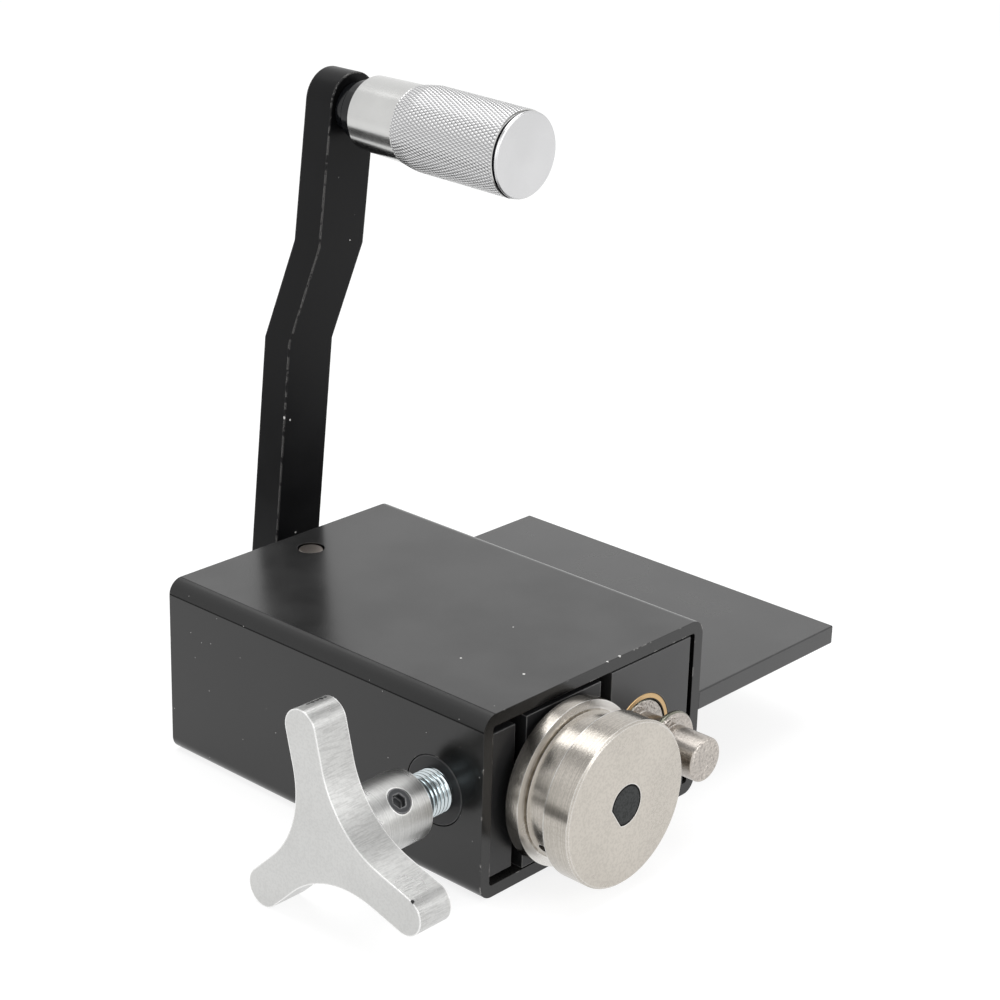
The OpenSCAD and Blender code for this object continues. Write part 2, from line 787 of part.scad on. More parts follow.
module crank_bolt() {
    head_d = 1.6 * crank_bolt_d;
    len = 1.5 * arm_t;
    color([0.12, 0.12, 0.13]) on_drive() translate([0, arm_back + bolt_washer_t, 0]) along_y() difference() {
        union() {
            translate([0, 0, -len - bolt_washer_t]) cylinder(d = crank_bolt_d, h = len + bolt_washer_t);
            cylinder(d = head_d, h = bolt_head_h);
        }
        translate([0, 0, bolt_head_h * (1 - hex_depth_share)]) hex_hole(crank_bolt_d * 3 / 4, bolt_head_h);
    }
}

// Spindle screwed through the arm, with a head that keeps the grip on
module grip_spindle() {
    head = grip_front + cap_t + cap_spigot_len + loose_clear;
    len = arm_up_front + arm_t - head;
    thread = grip_back - head;
    color([0.25, 0.25, 0.27]) on_grip() translate([0, head, 0]) along_y() rotate_extrude() polygon([
        [0, 0], [spindle_head_d / 2, 0], [spindle_head_d / 2, spindle_head_h],
        [spindle_d / 2, spindle_head_h], [spindle_d / 2, thread], [spindle_thread_d / 2, thread],
        [spindle_thread_d / 2, len], [0, len]
    ]);
}

module spindle_collar() {
    color([0.1, 0.1, 0.11]) on_grip() translate([0, arm_up_front - collar_ring_t, 0]) along_y()
        ring(collar_ring_d, spindle_thread_d + 2 * seat_clear, collar_ring_t);
}

module grip_spacer() {
    color([0.1, 0.1, 0.11]) on_grip() translate([0, arm_up_front - collar_ring_t - spacer_t, 0]) along_y()
        ring(spacer_d, spindle_thread_d + 2 * seat_clear, spacer_t);
}

// Grip without its cap: plain neck, shoulder and knurled body
module grip_body() {
    len = grip_len - cap_t;
    r = grip_d / 2;
    neck_r = grip_neck_d / 2;
    neck_front = len - grip_neck_len;
    shoulder = neck_front - grip_shoulder_len;
    head_room = cap_spigot_len + spindle_head_h + 2 * loose_clear;
    color([0.82, 0.82, 0.81]) on_grip() translate([0, grip_front + cap_t, 0]) along_y() difference() {
        rotate_extrude() polygon([
            [0, 0], [r - shaft_edge, 0], [r, shaft_edge], [r, shoulder],
            [neck_r + grip_neck_swell / 2, neck_front], [neck_r, len - shaft_edge],
            [neck_r - shaft_edge, len], [0, len]
        ]);
        translate([0, 0, -cut]) cylinder(d = spindle_d + 2 * run_clear, h = len + 2 * cut);
        translate([0, 0, -cut]) cylinder(d = cap_spigot_d + 2 * seat_clear, h = head_room + cut);
    }
}

// Cap pressed into the front of the grip
module grip_cap() {
    r = grip_d / 2 - cap_groove / 2;
    color([0.84, 0.84, 0.84]) on_grip() translate([0, grip_front, 0]) along_y() rotate_extrude() polygon([
        [0, 0], [r - cap_edge, 0], [r, cap_edge], [r, cap_t - cap_groove],
        [r - cap_groove, cap_t - cap_groove], [r - cap_groove, cap_t], [cap_spigot_d / 2, cap_t],
        [cap_spigot_d / 2, cap_t + cap_spigot_len], [0, cap_t + cap_spigot_len]
    ]);
}

housing();
mount_plate();
plate_weld();
fixed_block();
fixed_block_screws();
drive_front_bush();
rear_block();
rear_block_screws();
rear_block_dowel();
drive_rear_bush();
swivel_race();
nut_block();
sliding_block();
idler_front_bush();
idler_back_bush();
keeper_plate();
keeper_screws();
swivel_ball();
idler_shaft();
grooved_die();
die_set_screw();
idler_thrust_washer();
idler_snap_ring();
thrust_disc();
clamp_screw();
star_knob();
knob_set_screw();
bead_shaft();
drive_thrust_washer();
drive_collar();
collar_set_screw();
drive_snap_ring();
crank_arm();
crank_washer();
crank_bolt();
grip_spindle();
spindle_collar();
grip_spacer();
grip_body();
grip_cap();
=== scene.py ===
# %% [markdown]
# # A hand-cranked bead roller, dressed for its portrait
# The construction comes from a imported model: every shaft, block and screw is already there at its
# real size. This lesson gives each piece the surface that a person would see on a bench: softened
# edges, cut threads, a knurled grip, turning lines on the dies and worn satin paint.
# We begin by loading the model, because every new piece takes its place from it.

# %% Load the frame
import json
import math

import bmesh
import bpy
from mathutils import Matrix, Vector


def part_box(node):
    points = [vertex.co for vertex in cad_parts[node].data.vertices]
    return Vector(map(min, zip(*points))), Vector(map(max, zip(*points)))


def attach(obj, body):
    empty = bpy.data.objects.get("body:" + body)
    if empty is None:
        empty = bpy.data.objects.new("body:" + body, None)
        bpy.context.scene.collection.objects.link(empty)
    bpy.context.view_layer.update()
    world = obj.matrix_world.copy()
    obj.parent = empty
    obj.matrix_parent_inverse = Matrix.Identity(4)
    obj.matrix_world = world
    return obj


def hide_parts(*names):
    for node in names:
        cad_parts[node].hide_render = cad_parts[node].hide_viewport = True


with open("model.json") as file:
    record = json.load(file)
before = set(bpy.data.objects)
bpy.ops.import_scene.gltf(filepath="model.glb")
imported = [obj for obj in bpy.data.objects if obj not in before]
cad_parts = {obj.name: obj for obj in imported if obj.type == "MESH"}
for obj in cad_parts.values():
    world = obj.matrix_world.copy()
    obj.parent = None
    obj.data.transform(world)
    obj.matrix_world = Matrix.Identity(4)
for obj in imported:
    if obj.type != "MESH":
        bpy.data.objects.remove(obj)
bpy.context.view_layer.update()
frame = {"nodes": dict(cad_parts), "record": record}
MM = 0.001
for node in frame["nodes"].values():
    node.data.materials.clear()
for material in list(bpy.data.materials):
    bpy.data.materials.remove(material)
print("loaded", len(frame["nodes"]), "nodes")

# %% [markdown]
# ## Where things are
# A turned piece is easiest to make when you know its axis. The box of a round node gives it: the
# middle of the box across the two directions that the shaft doesn't run in. We keep these places
# as named values, in millimetres, and every piece below is built from them.

# %% Axes and faces
def middle(node):
    low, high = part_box(node)
    return (Vector(low) + Vector(high)) / 2 / MM


def low(node):
    return Vector(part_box(node)[0]) / MM


drive = middle("bead_shaft")
idler = middle("grooved_die")
screw = middle("clamp_screw")
print("bead shaft at x", round(drive.x, 2), "and die at x", round(idler.x, 2), "mm")

# %% [markdown]
# ## The camera
# The photograph was taken from the front left, a little above the roller, from about eight tenths
# of a metre. A long lens keeps the box section's edges nearly parallel. Blender's camera looks
# along its own -Z, so we tip it up from the floor, turn it about the vertical and add the small
# tilt that a hand-held camera has.

# %% Camera
CAMERA_PLACE = Vector((-524.48, -499.14, 380.49)) * MM
CAMERA_TURN = 47.997
CAMERA_DOWN = 21.598
CAMERA_ROLL = 1.592
LENS = 90.8
SENSOR = 36
NEAREST = 0.01

camera_data = bpy.data.cameras.new("portrait_camera")
camera_data.lens = LENS
camera_data.sensor_width = SENSOR
camera_data.sensor_fit = "HORIZONTAL"
camera_data.clip_start = NEAREST
camera = bpy.data.objects.new("portrait_camera", camera_data)
bpy.context.scene.collection.objects.link(camera)
turn = Matrix.Rotation(math.radians(-CAMERA_TURN), 4, "Z")
tip = Matrix.Rotation(math.radians(90 - CAMERA_DOWN), 4, "X")
roll = Matrix.Rotation(math.radians(CAMERA_ROLL), 4, "Z")
camera.matrix_world = Matrix.Translation(CAMERA_PLACE) @ turn @ tip @ roll
bpy.context.scene.camera = camera
print("camera at", [round(c, 3) for c in camera.location])

# %% [markdown]
# ## Light
# Product pictures of small machines are lit by large soft boxes, so that polished steel shows
# broad pale bands and black paint shows soft grey ones. Each box here is an area light aimed at
# the middle of the roller. Large lights give soft shadows, and their size matters more than their
# strength for how metal looks.

# %% Soft boxes
AIM = Vector((0, -0.02, 0.08))


def soft_box(name, place, width, height, watts):
    data = bpy.data.lights.new(name, "AREA")
    data.shape = "RECTANGLE"
    data.size = width
    data.size_y = height
    data.energy = watts
    light = bpy.data.objects.new(name, data)
    bpy.context.scene.collection.objects.link(light)
    light.location = place
    light.rotation_euler = (AIM - Vector(place)).to_track_quat("-Z", "Y").to_euler()


soft_box("top_box", (0.1, 0.2, 1.25), width=1.1, height=1.1, watts=9)
soft_box("left_box", (-1.15, -0.1, 0.55), width=0.9, height=0.9, watts=2.5)
soft_box("front_box", (0.15, -1.2, 0.6), width=0.9, height=0.7, watts=5)

# %% [markdown]
# Polished metal needs something dark to reflect, or it looks like white paint. Photographers hang a
# dark card over the object for that, and lay a small one beside it, which gives round metal its dark
# band. Ours are hidden from everything but reflections.

# %% A flat square
def plain_square(name, size, place, material):
    bm = bmesh.new()
    bmesh.ops.create_grid(bm, x_segments=1, y_segments=1, size=size / 2)
    mesh = bpy.data.meshes.new(name)
    bm.to_mesh(mesh)
    bm.free()
    mesh.materials.append(material)
    square = bpy.data.objects.new(name, mesh)
    square.location = place
    bpy.context.scene.collection.objects.link(square)
    return square


print("squares are made by", plain_square.__name__)

# %% [markdown]
# A card is such a square with a black surface that glows a little, which sets its grey exactly. The
# large one hangs level over the roller. The small one lies on the floor behind the knob, turned so
# that the grip and the hub reflect it.

# %% Dark cards
CARD_SIZE = 2.3
CARD_PLACE = (-0.1, -0.1, 1.45)
CARD_GREY = 0.38
LOW_CARD_SIZE = 0.19
LOW_CARD_PLACE = (-0.14, 0.31, 0.004)
LOW_CARD_GREY = 0.03
LOW_CARD_TURN = 28.0


def dark_card(name, size, place, grey, turned=0.0):
    mat = bpy.data.materials.new(name)
    mat.use_nodes = True
    shader = mat.node_tree.nodes["Principled BSDF"]
    shader.inputs["Base Color"].default_value = (0, 0, 0, 1)
    shader.inputs["Roughness"].default_value = 1.0
    shader.inputs["Emission Color"].default_value = (grey, grey, grey, 1)
    shader.inputs["Emission Strength"].default_value = 1.0
    card = plain_square(name, size, place, mat)
    card.rotation_euler.z = math.radians(turned)
    for ray in ("camera", "diffuse", "shadow", "transmission", "volume_scatter"):
        setattr(card, "visible_" + ray, False)


dark_card("dark_card", CARD_SIZE, CARD_PLACE, CARD_GREY)
dark_card("low_card", LOW_CARD_SIZE, LOW_CARD_PLACE, LOW_CARD_GREY, LOW_CARD_TURN)
print("cards", CARD_SIZE, "m and", LOW_CARD_SIZE, "m wide")

# %% [markdown]
# ## Room and floor
# The background of such a picture is plain white. A white world would light the object from
# everywhere, so the Light Path node separates what the camera and the metal see from what lights
# the surfaces.

# %% What is seen directly
scene = bpy.context.scene
scene.view_settings.view_transform = "Standard"


def seen_directly(tree):
    path = tree.nodes.new("ShaderNodeLightPath")
    seen = path.outputs["Is Camera Ray"]
    for kind in ("Is Glossy Ray", "Is Transmission Ray"):
        either = tree.nodes.new("ShaderNodeMath")
        either.operation = "MAXIMUM"
        tree.links.new(seen, either.inputs[0])
        tree.links.new(path.outputs[kind], either.inputs[1])
        seen = either.outputs[0]
    return seen


print("view transform", scene.view_settings.view_transform)

# %% [markdown]
# The world has two plain white backgrounds. The strong one is what rays see directly, and the
# weaker one is what lights the roller.

# %% World
ROOM_LIGHT = 0.55
WHITE = (1, 1, 1, 1)

world = bpy.data.worlds.new("room")
scene.world = world
world.use_nodes = True
tree = world.node_tree
tree.nodes.clear()
direct = seen_directly(tree)
lit = tree.nodes.new("ShaderNodeBackground")
lit.inputs["Strength"].default_value = ROOM_LIGHT
lit.inputs["Color"].default_value = WHITE
shown = tree.nodes.new("ShaderNodeBackground")
shown.inputs["Color"].default_value = WHITE
mix = tree.nodes.new("ShaderNodeMixShader")
out = tree.nodes.new("ShaderNodeOutputWorld")
tree.links.new(direct, mix.inputs[0])
tree.links.new(lit.outputs[0], mix.inputs[1])
tree.links.new(shown.outputs[0], mix.inputs[2])
tree.links.new(mix.outputs[0], out.inputs["Surface"])
print("room light", ROOM_LIGHT)

# %% [markdown]
# The floor does the same as the world. What the camera sees of it is mostly a white glow, with a
# little real shading added, so the roller still casts its shadow. For light that bounces it is a
# plain pale surface.

# %% Floor
FLOOR_SIZE = 6.0
FLOOR_GLOW = 0.82
FLOOR_GREY = 0.28
FLOOR_BOUNCE = 0.8


def floor_material():
    mat = bpy.data.materials.new("pale_floor")
    mat.use_nodes = True
    tree = mat.node_tree
    tree.nodes.clear()
    direct = seen_directly(tree)
    glow = tree.nodes.new("ShaderNodeEmission")
    glow.inputs["Strength"].default_value = FLOOR_GLOW
    paint = tree.nodes.new("ShaderNodeBsdfDiffuse")
    paint.inputs["Color"].default_value = (FLOOR_GREY, FLOOR_GREY, FLOOR_GREY, 1)
    both = tree.nodes.new("ShaderNodeAddShader")
    plain = tree.nodes.new("ShaderNodeBsdfDiffuse")
    plain.inputs["Color"].default_value = (FLOOR_BOUNCE, FLOOR_BOUNCE, FLOOR_BOUNCE, 1)
    mix = tree.nodes.new("ShaderNodeMixShader")
    out = tree.nodes.new("ShaderNodeOutputMaterial")
    tree.links.new(glow.outputs[0], both.inputs[0])
    tree.links.new(paint.outputs[0], both.inputs[1])
    tree.links.new(direct, mix.inputs[0])
    tree.links.new(plain.outputs[0], mix.inputs[1])
    tree.links.new(both.outputs[0], mix.inputs[2])
    tree.links.new(mix.outputs[0], out.inputs["Surface"])
    return mat


floor = plain_square("floor", FLOOR_SIZE, (0, 0, 0), floor_material())
print("floor", FLOOR_SIZE, "m wide")

# %% [markdown]
# ## Shared surface effects
# Steel, paint and bronze repeat a few small effects: a fine grain, the circular lines that a lathe
# leaves, chipped corners, painted highlights and shade along edges, and specks of dust. Each one is
# a node group with named inputs, so every material can use it at its own scale. A group hands out
# only masks and heights. The shader stays in the material.

# %% Group helper
def node_group(name, inputs, outputs):
    tree = bpy.data.node_groups.new(name, "ShaderNodeTree")
    for label, kind, value in inputs:
        socket = tree.interface.new_socket(label, in_out="INPUT", socket_type=kind)
        socket.default_value = value
    for label in outputs:
        tree.interface.new_socket(label, in_out="OUTPUT", socket_type="NodeSocketFloat")
    return tree, tree.nodes.new("NodeGroupInput"), tree.nodes.new("NodeGroupOutput")


def feed(tree, socket, value):
    if isinstance(value, (int, float, tuple)):
        socket.default_value = value
    else:
        tree.links.new(value, socket)


def math_node(tree, operation, first, second=None):
    node = tree.nodes.new("ShaderNodeMath")
    node.operation = operation
    for slot, value in enumerate((first, second)):
        if value is not None:
            feed(tree, node.inputs[slot], value)
    return node.outputs[0]


def spread(tree, value, start, end, low_value=0.0, high_value=1.0):
    node = tree.nodes.new("ShaderNodeMapRange")
    node.interpolation_type = "SMOOTHSTEP"
    tree.links.new(value, node.inputs["Value"])
    limits = {"From Min": start, "From Max": end, "To Min": low_value, "To Max": high_value}
    for label, number in limits.items():
        feed(tree, node.inputs[label], number)
    return node.outputs["Result"]


def noise(tree, place, scale, detail):
    node = tree.nodes.new("ShaderNodeTexNoise")
    tree.links.new(place, node.inputs["Vector"])
    feed(tree, node.inputs["Scale"], scale)
    feed(tree, node.inputs["Detail"], detail)
    return node.outputs["Fac"]


FLOAT = "NodeSocketFloat"
VECTOR = "NodeSocketVector"
print("sockets", FLOAT, "and", VECTOR)

# %% [markdown]
# A grain is noise at the size of the marks. Object coordinates are in metres, so a mark of one
# millimetre needs a scale of a thousand. The same group gives wide soft clouds, a few centimetres
# across, for the slow changes of tone that every handled surface has.

# %% Grain group
CLOUDS_PER_METRE = 45
CLOUD_DETAIL = 5


def make_grain():
    tree, given, out = node_group("grain", [("Marks per metre", FLOAT, 800.0), ("Detail", FLOAT, 4.0)],
                                  ["Height", "Clouds"])
    place = tree.nodes.new("ShaderNodeTexCoord").outputs["Object"]
    fine = noise(tree, place, given.outputs["Marks per metre"], given.outputs["Detail"])
    tree.links.new(fine, out.inputs["Height"])
    tree.links.new(noise(tree, place, CLOUDS_PER_METRE, CLOUD_DETAIL), out.inputs["Clouds"])
    return tree


grain = make_grain()
print("group", grain.name)

# %% [markdown]
# A lathe leaves rings. On an end face they follow the distance from the turning axis, and on a rim
# they follow the place along it. The normal tells one from the other, and one-dimensional noise of
# that distance draws the lines.

# %% Turning lines helpers
END_FACE = (0.55, 0.85)
LINE_DETAIL = 2.0
TONE_DETAIL = 3.0
TONE_SCALE = 0.45


def vector_node(tree, operation, first, second=None):
    node = tree.nodes.new("ShaderNodeVectorMath")
    node.operation = operation
    for slot, value in enumerate((first, second)):
        if value is not None:
            feed(tree, node.inputs[slot], value)
    return node


def line_noise(tree, distance, scale, detail):
    lines = tree.nodes.new("ShaderNodeTexNoise")
    lines.noise_dimensions = "1D"
    lines.inputs["Detail"].default_value = detail
    tree.links.new(distance, lines.inputs["W"])
    tree.links.new(scale, lines.inputs["Scale"])
    return lines.outputs["Fac"]


print("end faces between", END_FACE)

# %% [markdown]
# The group takes a point on the axis and the two directions across it. The offset from that point
# splits into a part across the axis, whose length is the radius, and the rest, which runs along it.

# %% Turning lines group
def make_rings():
    tree, given, out = node_group(
        "turning_rings",
        [("Axis point", VECTOR, (0, 0, 0)), ("Across", VECTOR, (1, 0, 1)),
         ("Lines per metre", FLOAT, 2500.0)],
        ["Height", "Tone", "Radius", "Along", "Face"])
    place = tree.nodes.new("ShaderNodeTexCoord").outputs["Object"]
    offset = vector_node(tree, "SUBTRACT", place, given.outputs["Axis point"]).outputs[0]
    across = vector_node(tree, "MULTIPLY", offset, given.outputs["Across"]).outputs[0]
    radius = vector_node(tree, "LENGTH", across).outputs["Value"]
    rest = vector_node(tree, "SUBTRACT", offset, across).outputs[0]
    along = vector_node(tree, "DOT_PRODUCT", rest, (1, 1, 1)).outputs["Value"]
    axis = vector_node(tree, "SUBTRACT", (1, 1, 1), given.outputs["Across"]).outputs[0]
    normal = tree.nodes.new("ShaderNodeNewGeometry").outputs["True Normal"]
    facing = vector_node(tree, "DOT_PRODUCT", normal, axis).outputs["Value"]
    face = spread(tree, math_node(tree, "ABSOLUTE", facing), *END_FACE)
    rim_part = math_node(tree, "MULTIPLY", along, math_node(tree, "SUBTRACT", 1.0, face))
    face_part = math_node(tree, "MULTIPLY", radius, face)
    total = math_node(tree, "ADD", rim_part, face_part)
    fine = given.outputs["Lines per metre"]
    wide = math_node(tree, "MULTIPLY", given.outputs["Lines per metre"], TONE_SCALE)
    results = {"Height": line_noise(tree, total, fine, LINE_DETAIL),
               "Tone": line_noise(tree, total, wide, TONE_DETAIL),
               "Radius": radius, "Along": along, "Face": face}
    for label, value in results.items():
        tree.links.new(value, out.inputs[label])
    return tree


rings = make_rings()
print("group", rings.name)

# %% [markdown]
# A file or a belt leaves straight strokes. They are noise stretched in one direction: along the
# strokes the coordinates hardly change, and across them they change quickly.

# %% Brushed strokes group
STRETCH = 0.9
STROKES_PER_METRE = 2400
STROKE_DETAIL = 5


def make_brush():
    tree, given, out = node_group("brushed_strokes", [("Along", VECTOR, (1, 0, 0))], ["Height"])
    place = tree.nodes.new("ShaderNodeTexCoord").outputs["Object"]
    shrink = tree.nodes.new("ShaderNodeVectorMath")
    shrink.operation = "MULTIPLY_ADD"
    shrink.inputs[1].default_value = (-STRETCH, -STRETCH, -STRETCH)
    shrink.inputs[2].default_value = (1, 1, 1)
    tree.links.new(given.outputs["Along"], shrink.inputs[0])
    stretched = vector_node(tree, "MULTIPLY", place, shrink.outputs[0]).outputs[0]
    tree.links.new(noise(tree, stretched, STROKES_PER_METRE, STROKE_DETAIL), out.inputs["Height"])
    return tree


brush = make_brush()
print("group", brush.name)

# %% [markdown]
# Paint wears first on corners. The Bevel node gives the normal that a rounded corner would have;
# where it differs from the true normal there is a corner, and noise breaks the mask into chips. The
# whole corner mask is handed out too, and some materials paint highlights and shade along edges with it.

# %% Corner chips and painted edges group
BEVEL_SAMPLES = 6
CORNER_MATCH = (0.995, 0.88)
CHIP_DETAIL = 6
CHIP_BLUR = 0.06


def make_wear_and_painted_edges():
    tree, given, out = node_group(
        "corner_wear_and_painted_edges",
        [("Reach", FLOAT, 0.0006), ("Chips per metre", FLOAT, 300.0), ("Amount", FLOAT, 0.5)],
        ["Mask", "Corner"])
    soft = tree.nodes.new("ShaderNodeBevel")
    soft.samples = BEVEL_SAMPLES
    tree.links.new(given.outputs["Reach"], soft.inputs["Radius"])
    true = tree.nodes.new("ShaderNodeNewGeometry")
    match = vector_node(tree, "DOT_PRODUCT", soft.outputs["Normal"], true.outputs["Normal"])
    corner = spread(tree, match.outputs["Value"], *CORNER_MATCH)
    place = tree.nodes.new("ShaderNodeTexCoord").outputs["Object"]
    chips = noise(tree, place, given.outputs["Chips per metre"], CHIP_DETAIL)
    threshold = math_node(tree, "SUBTRACT", 1.0, given.outputs["Amount"])
    upper = math_node(tree, "ADD", threshold, CHIP_BLUR)
    broken = spread(tree, chips, threshold, upper)
    tree.links.new(math_node(tree, "MULTIPLY", corner, broken), out.inputs["Mask"])
    tree.links.new(corner, out.inputs["Corner"])
    return tree


wear_and_painted_edges = make_wear_and_painted_edges()
print("group", wear_and_painted_edges.name)

# %% [markdown]
# Dust is a scatter of tiny dots. Voronoi cells give each dot its own cell, and a threshold on the
# distance to the cell's point keeps the dot small. The cell's random colour leaves most cells bare.

# %% Dust group
def make_dust():
    tree, given, out = node_group("dust", [("Specks per metre", FLOAT, 260.0), ("Size", FLOAT, 0.045),
                                           ("Share", FLOAT, 0.2)], ["Mask"])
    place = tree.nodes.new("ShaderNodeTexCoord").outputs["Object"]
    cells = tree.nodes.new("ShaderNodeTexVoronoi")
    tree.links.new(place, cells.inputs["Vector"])
    tree.links.new(given.outputs["Specks per metre"], cells.inputs["Scale"])
    dot = math_node(tree, "LESS_THAN", cells.outputs["Distance"], given.outputs["Size"])
    split = tree.nodes.new("ShaderNodeSeparateColor")
    tree.links.new(cells.outputs["Color"], split.inputs["Color"])
    chosen = math_node(tree, "LESS_THAN", split.outputs[0], given.outputs["Share"])
    tree.links.new(math_node(tree, "MULTIPLY", dot, chosen), out.inputs["Mask"])
    return tree


dust = make_dust()
print("group", dust.name)

# %% [markdown]
# A chip in the paint sits at one place. The distance to that place, made ragged by noise, gives a
# small spot with an uneven edge.

# %% Chip group
RAGGED_PER_METRE = 900
RAGGED_DETAIL = 4
RAGGED_REACH = 2.0


def make_chip():
    tree, given, out = node_group("paint_chip", [("Place", VECTOR, (0, 0, 0)), ("Size", FLOAT, 0.001)],
                                  ["Mask"])
    place = tree.nodes.new("ShaderNodeTexCoord").outputs["Object"]
    ragged = noise(tree, place, RAGGED_PER_METRE, RAGGED_DETAIL)
    gap = vector_node(tree, "DISTANCE", place, given.outputs["Place"])
    share = math_node(tree, "DIVIDE", gap.outputs["Value"], given.outputs["Size"])
    edge = math_node(tree, "MULTIPLY", ragged, RAGGED_REACH)
    tree.links.new(math_node(tree, "LESS_THAN", share, edge), out.inputs["Mask"])
    return tree


chip = make_chip()
print("group", chip.name)

# %% [markdown]
# ## Materials
# A material starts as one Principled shader with its plain values set on the shader itself. Small
# helper functions then lay the groups over it: a colour blend where a mask is white, a roughness
# that follows a noise, and a bump for height.

# %% Material helpers
def plain_material(name, color, roughness, metallic, specular=0.5):
    mat = bpy.data.materials.new(name)
    mat.use_nodes = True
    shader = mat.node_tree.nodes["Principled BSDF"]
    shader.inputs["Base Color"].default_value = (*color, 1)
    shader.inputs["Roughness"].default_value = roughness
    shader.inputs["Metallic"].default_value = metallic
    shader.inputs["Specular IOR Level"].default_value = specular
    return mat, mat.node_tree, shader


def use_group(tree, group, **values):
    node = tree.nodes.new("ShaderNodeGroup")
    node.node_tree = group
    for label, value in values.items():
        node.inputs[label.replace("_", " ")].default_value = value
    return node


def blend_color(tree, mask, first, second):
    node = tree.nodes.new("ShaderNodeMix")
    node.data_type = "RGBA"
    tree.links.new(mask, node.inputs["Factor"])
    for label, value in (("A", first), ("B", second)):
        socket = [s for s in node.inputs if s.name == label and s.type == "RGBA"][0]
        if isinstance(value, tuple):
            socket.default_value = (*value, 1)
        else:
            tree.links.new(value, socket)
    return [s for s in node.outputs if s.type == "RGBA"][0]


print("helpers for colour", 3)

# %% [markdown]
# Values need the same help as colours: one value takes the place of another where a mask is white,
# and a height becomes a bump. Soft clouds in the roughness keep a gloss from looking even, and a low
# and a high share say how far it wanders.

# %% Value helpers
SHINE_CLOUDS = (0.3, 0.75)


def in_metres(place_mm):
    return tuple(c * MM for c in place_mm)


def scaled(color, share):
    return tuple(min(1.0, c * share) for c in color)


def swap(tree, mask, first, second):
    keep = math_node(tree, "MULTIPLY", first, math_node(tree, "SUBTRACT", 1.0, mask))
    return math_node(tree, "ADD", keep, math_node(tree, "MULTIPLY", second, mask))


def bump(tree, shader, height, depth_mm):
    node = tree.nodes.new("ShaderNodeBump")
    node.inputs["Strength"].default_value = 1.0
    node.inputs["Distance"].default_value = depth_mm * MM
    tree.links.new(height, node.inputs["Height"])
    tree.links.new(node.outputs["Normal"], shader.inputs["Normal"])


def cloudy(tree, surface, value, shares):
    return spread(tree, surface.outputs["Clouds"], *SHINE_CLOUDS, *(value * share for share in shares))


def add_spots(tree, base, spots, tint):
    for place_mm, size_mm in spots:
        spot = use_group(tree, chip, Place=in_metres(place_mm), Size=size_mm * MM)
        base = blend_color(tree, spot.outputs["Mask"], base, tint)
    return base


print("clouds in the gloss between", SHINE_CLOUDS)

# %% [markdown]
# ## Paint
# Satin black paint covers the box section, the plate and the crank. It is nearly black, and what
# makes it look grey is the soft box that it reflects at a low angle. A faint orange peel, some
# dust and bare steel at the corners keep it from looking like plastic. Faces whose normal points up
# get a painted light, which makes the top a little paler than the sides.

# %% Painted top light
TOP_LIGHT_TILT = (0.9, 0.99)
TOP_LIGHT_CLOUDS = (0.3, 0.7)
TOP_LIGHT_SHARES = (0.5, 1.0)


# Painted light: faces that point up are painted paler, for the light that falls on the top.
def add_painted_top_light(tree, base, surface, normal, top_light_tint):
    upward = spread(tree, normal.outputs["Z"], *TOP_LIGHT_TILT)
    uneven = spread(tree, surface.outputs["Clouds"], *TOP_LIGHT_CLOUDS, *TOP_LIGHT_SHARES)
    return blend_color(tree, math_node(tree, "MULTIPLY", upward, uneven), base, top_light_tint)


print("film where the normal's height is over", TOP_LIGHT_TILT[0])

# %% [markdown]
# The long corner of the box section on the knob's side keeps its mill skin, so the paint there is
# duller than on the flats, with a dark line where the bend begins and ends. On that corner the
# normal leans to -X and to +Z at once, so the product of the two, turned positive, finds it.

# %% Rolled corner
BEND = (0.04, 0.16)
LINE_RISE = (0.015, 0.05)
LINE_FALL = (0.16, 0.09)
LINE_SHINE = 0.15


def roll_corner(tree, shader, normal, rough, rolled, specular):
    slant = math_node(tree, "MULTIPLY", normal.outputs["X"], normal.outputs["Z"])
    near_slant = math_node(tree, "MULTIPLY", slant, -1.0)
    line = math_node(tree, "MULTIPLY", spread(tree, near_slant, *LINE_RISE),
                     spread(tree, near_slant, *LINE_FALL))
    dull = spread(tree, line, 0.0, 1.0, specular, specular * LINE_SHINE)
    tree.links.new(dull, shader.inputs["Specular IOR Level"])
    return swap(tree, spread(tree, near_slant, *BEND), rough, rolled)


print("bend between", BEND)

# %% [markdown]
# One function then makes every paint. The colours build up in layers: the paint, dust on it, a
# paler top as painted light, a painted highlight along the corners and bare steel where the paint
# has chipped off.

# %% Paint
BARE_STEEL = (0.42, 0.41, 0.40)
CHIP_PALE = (0.72, 0.71, 0.69)
DUST_PALE = (0.45, 0.44, 0.43)
PEEL_PER_METRE = 900.0
PAINT_CLOUDS = (0.35, 0.7)
PAINT_LIFT = 1.35
PAINT_SHINE = (0.9, 1.12)


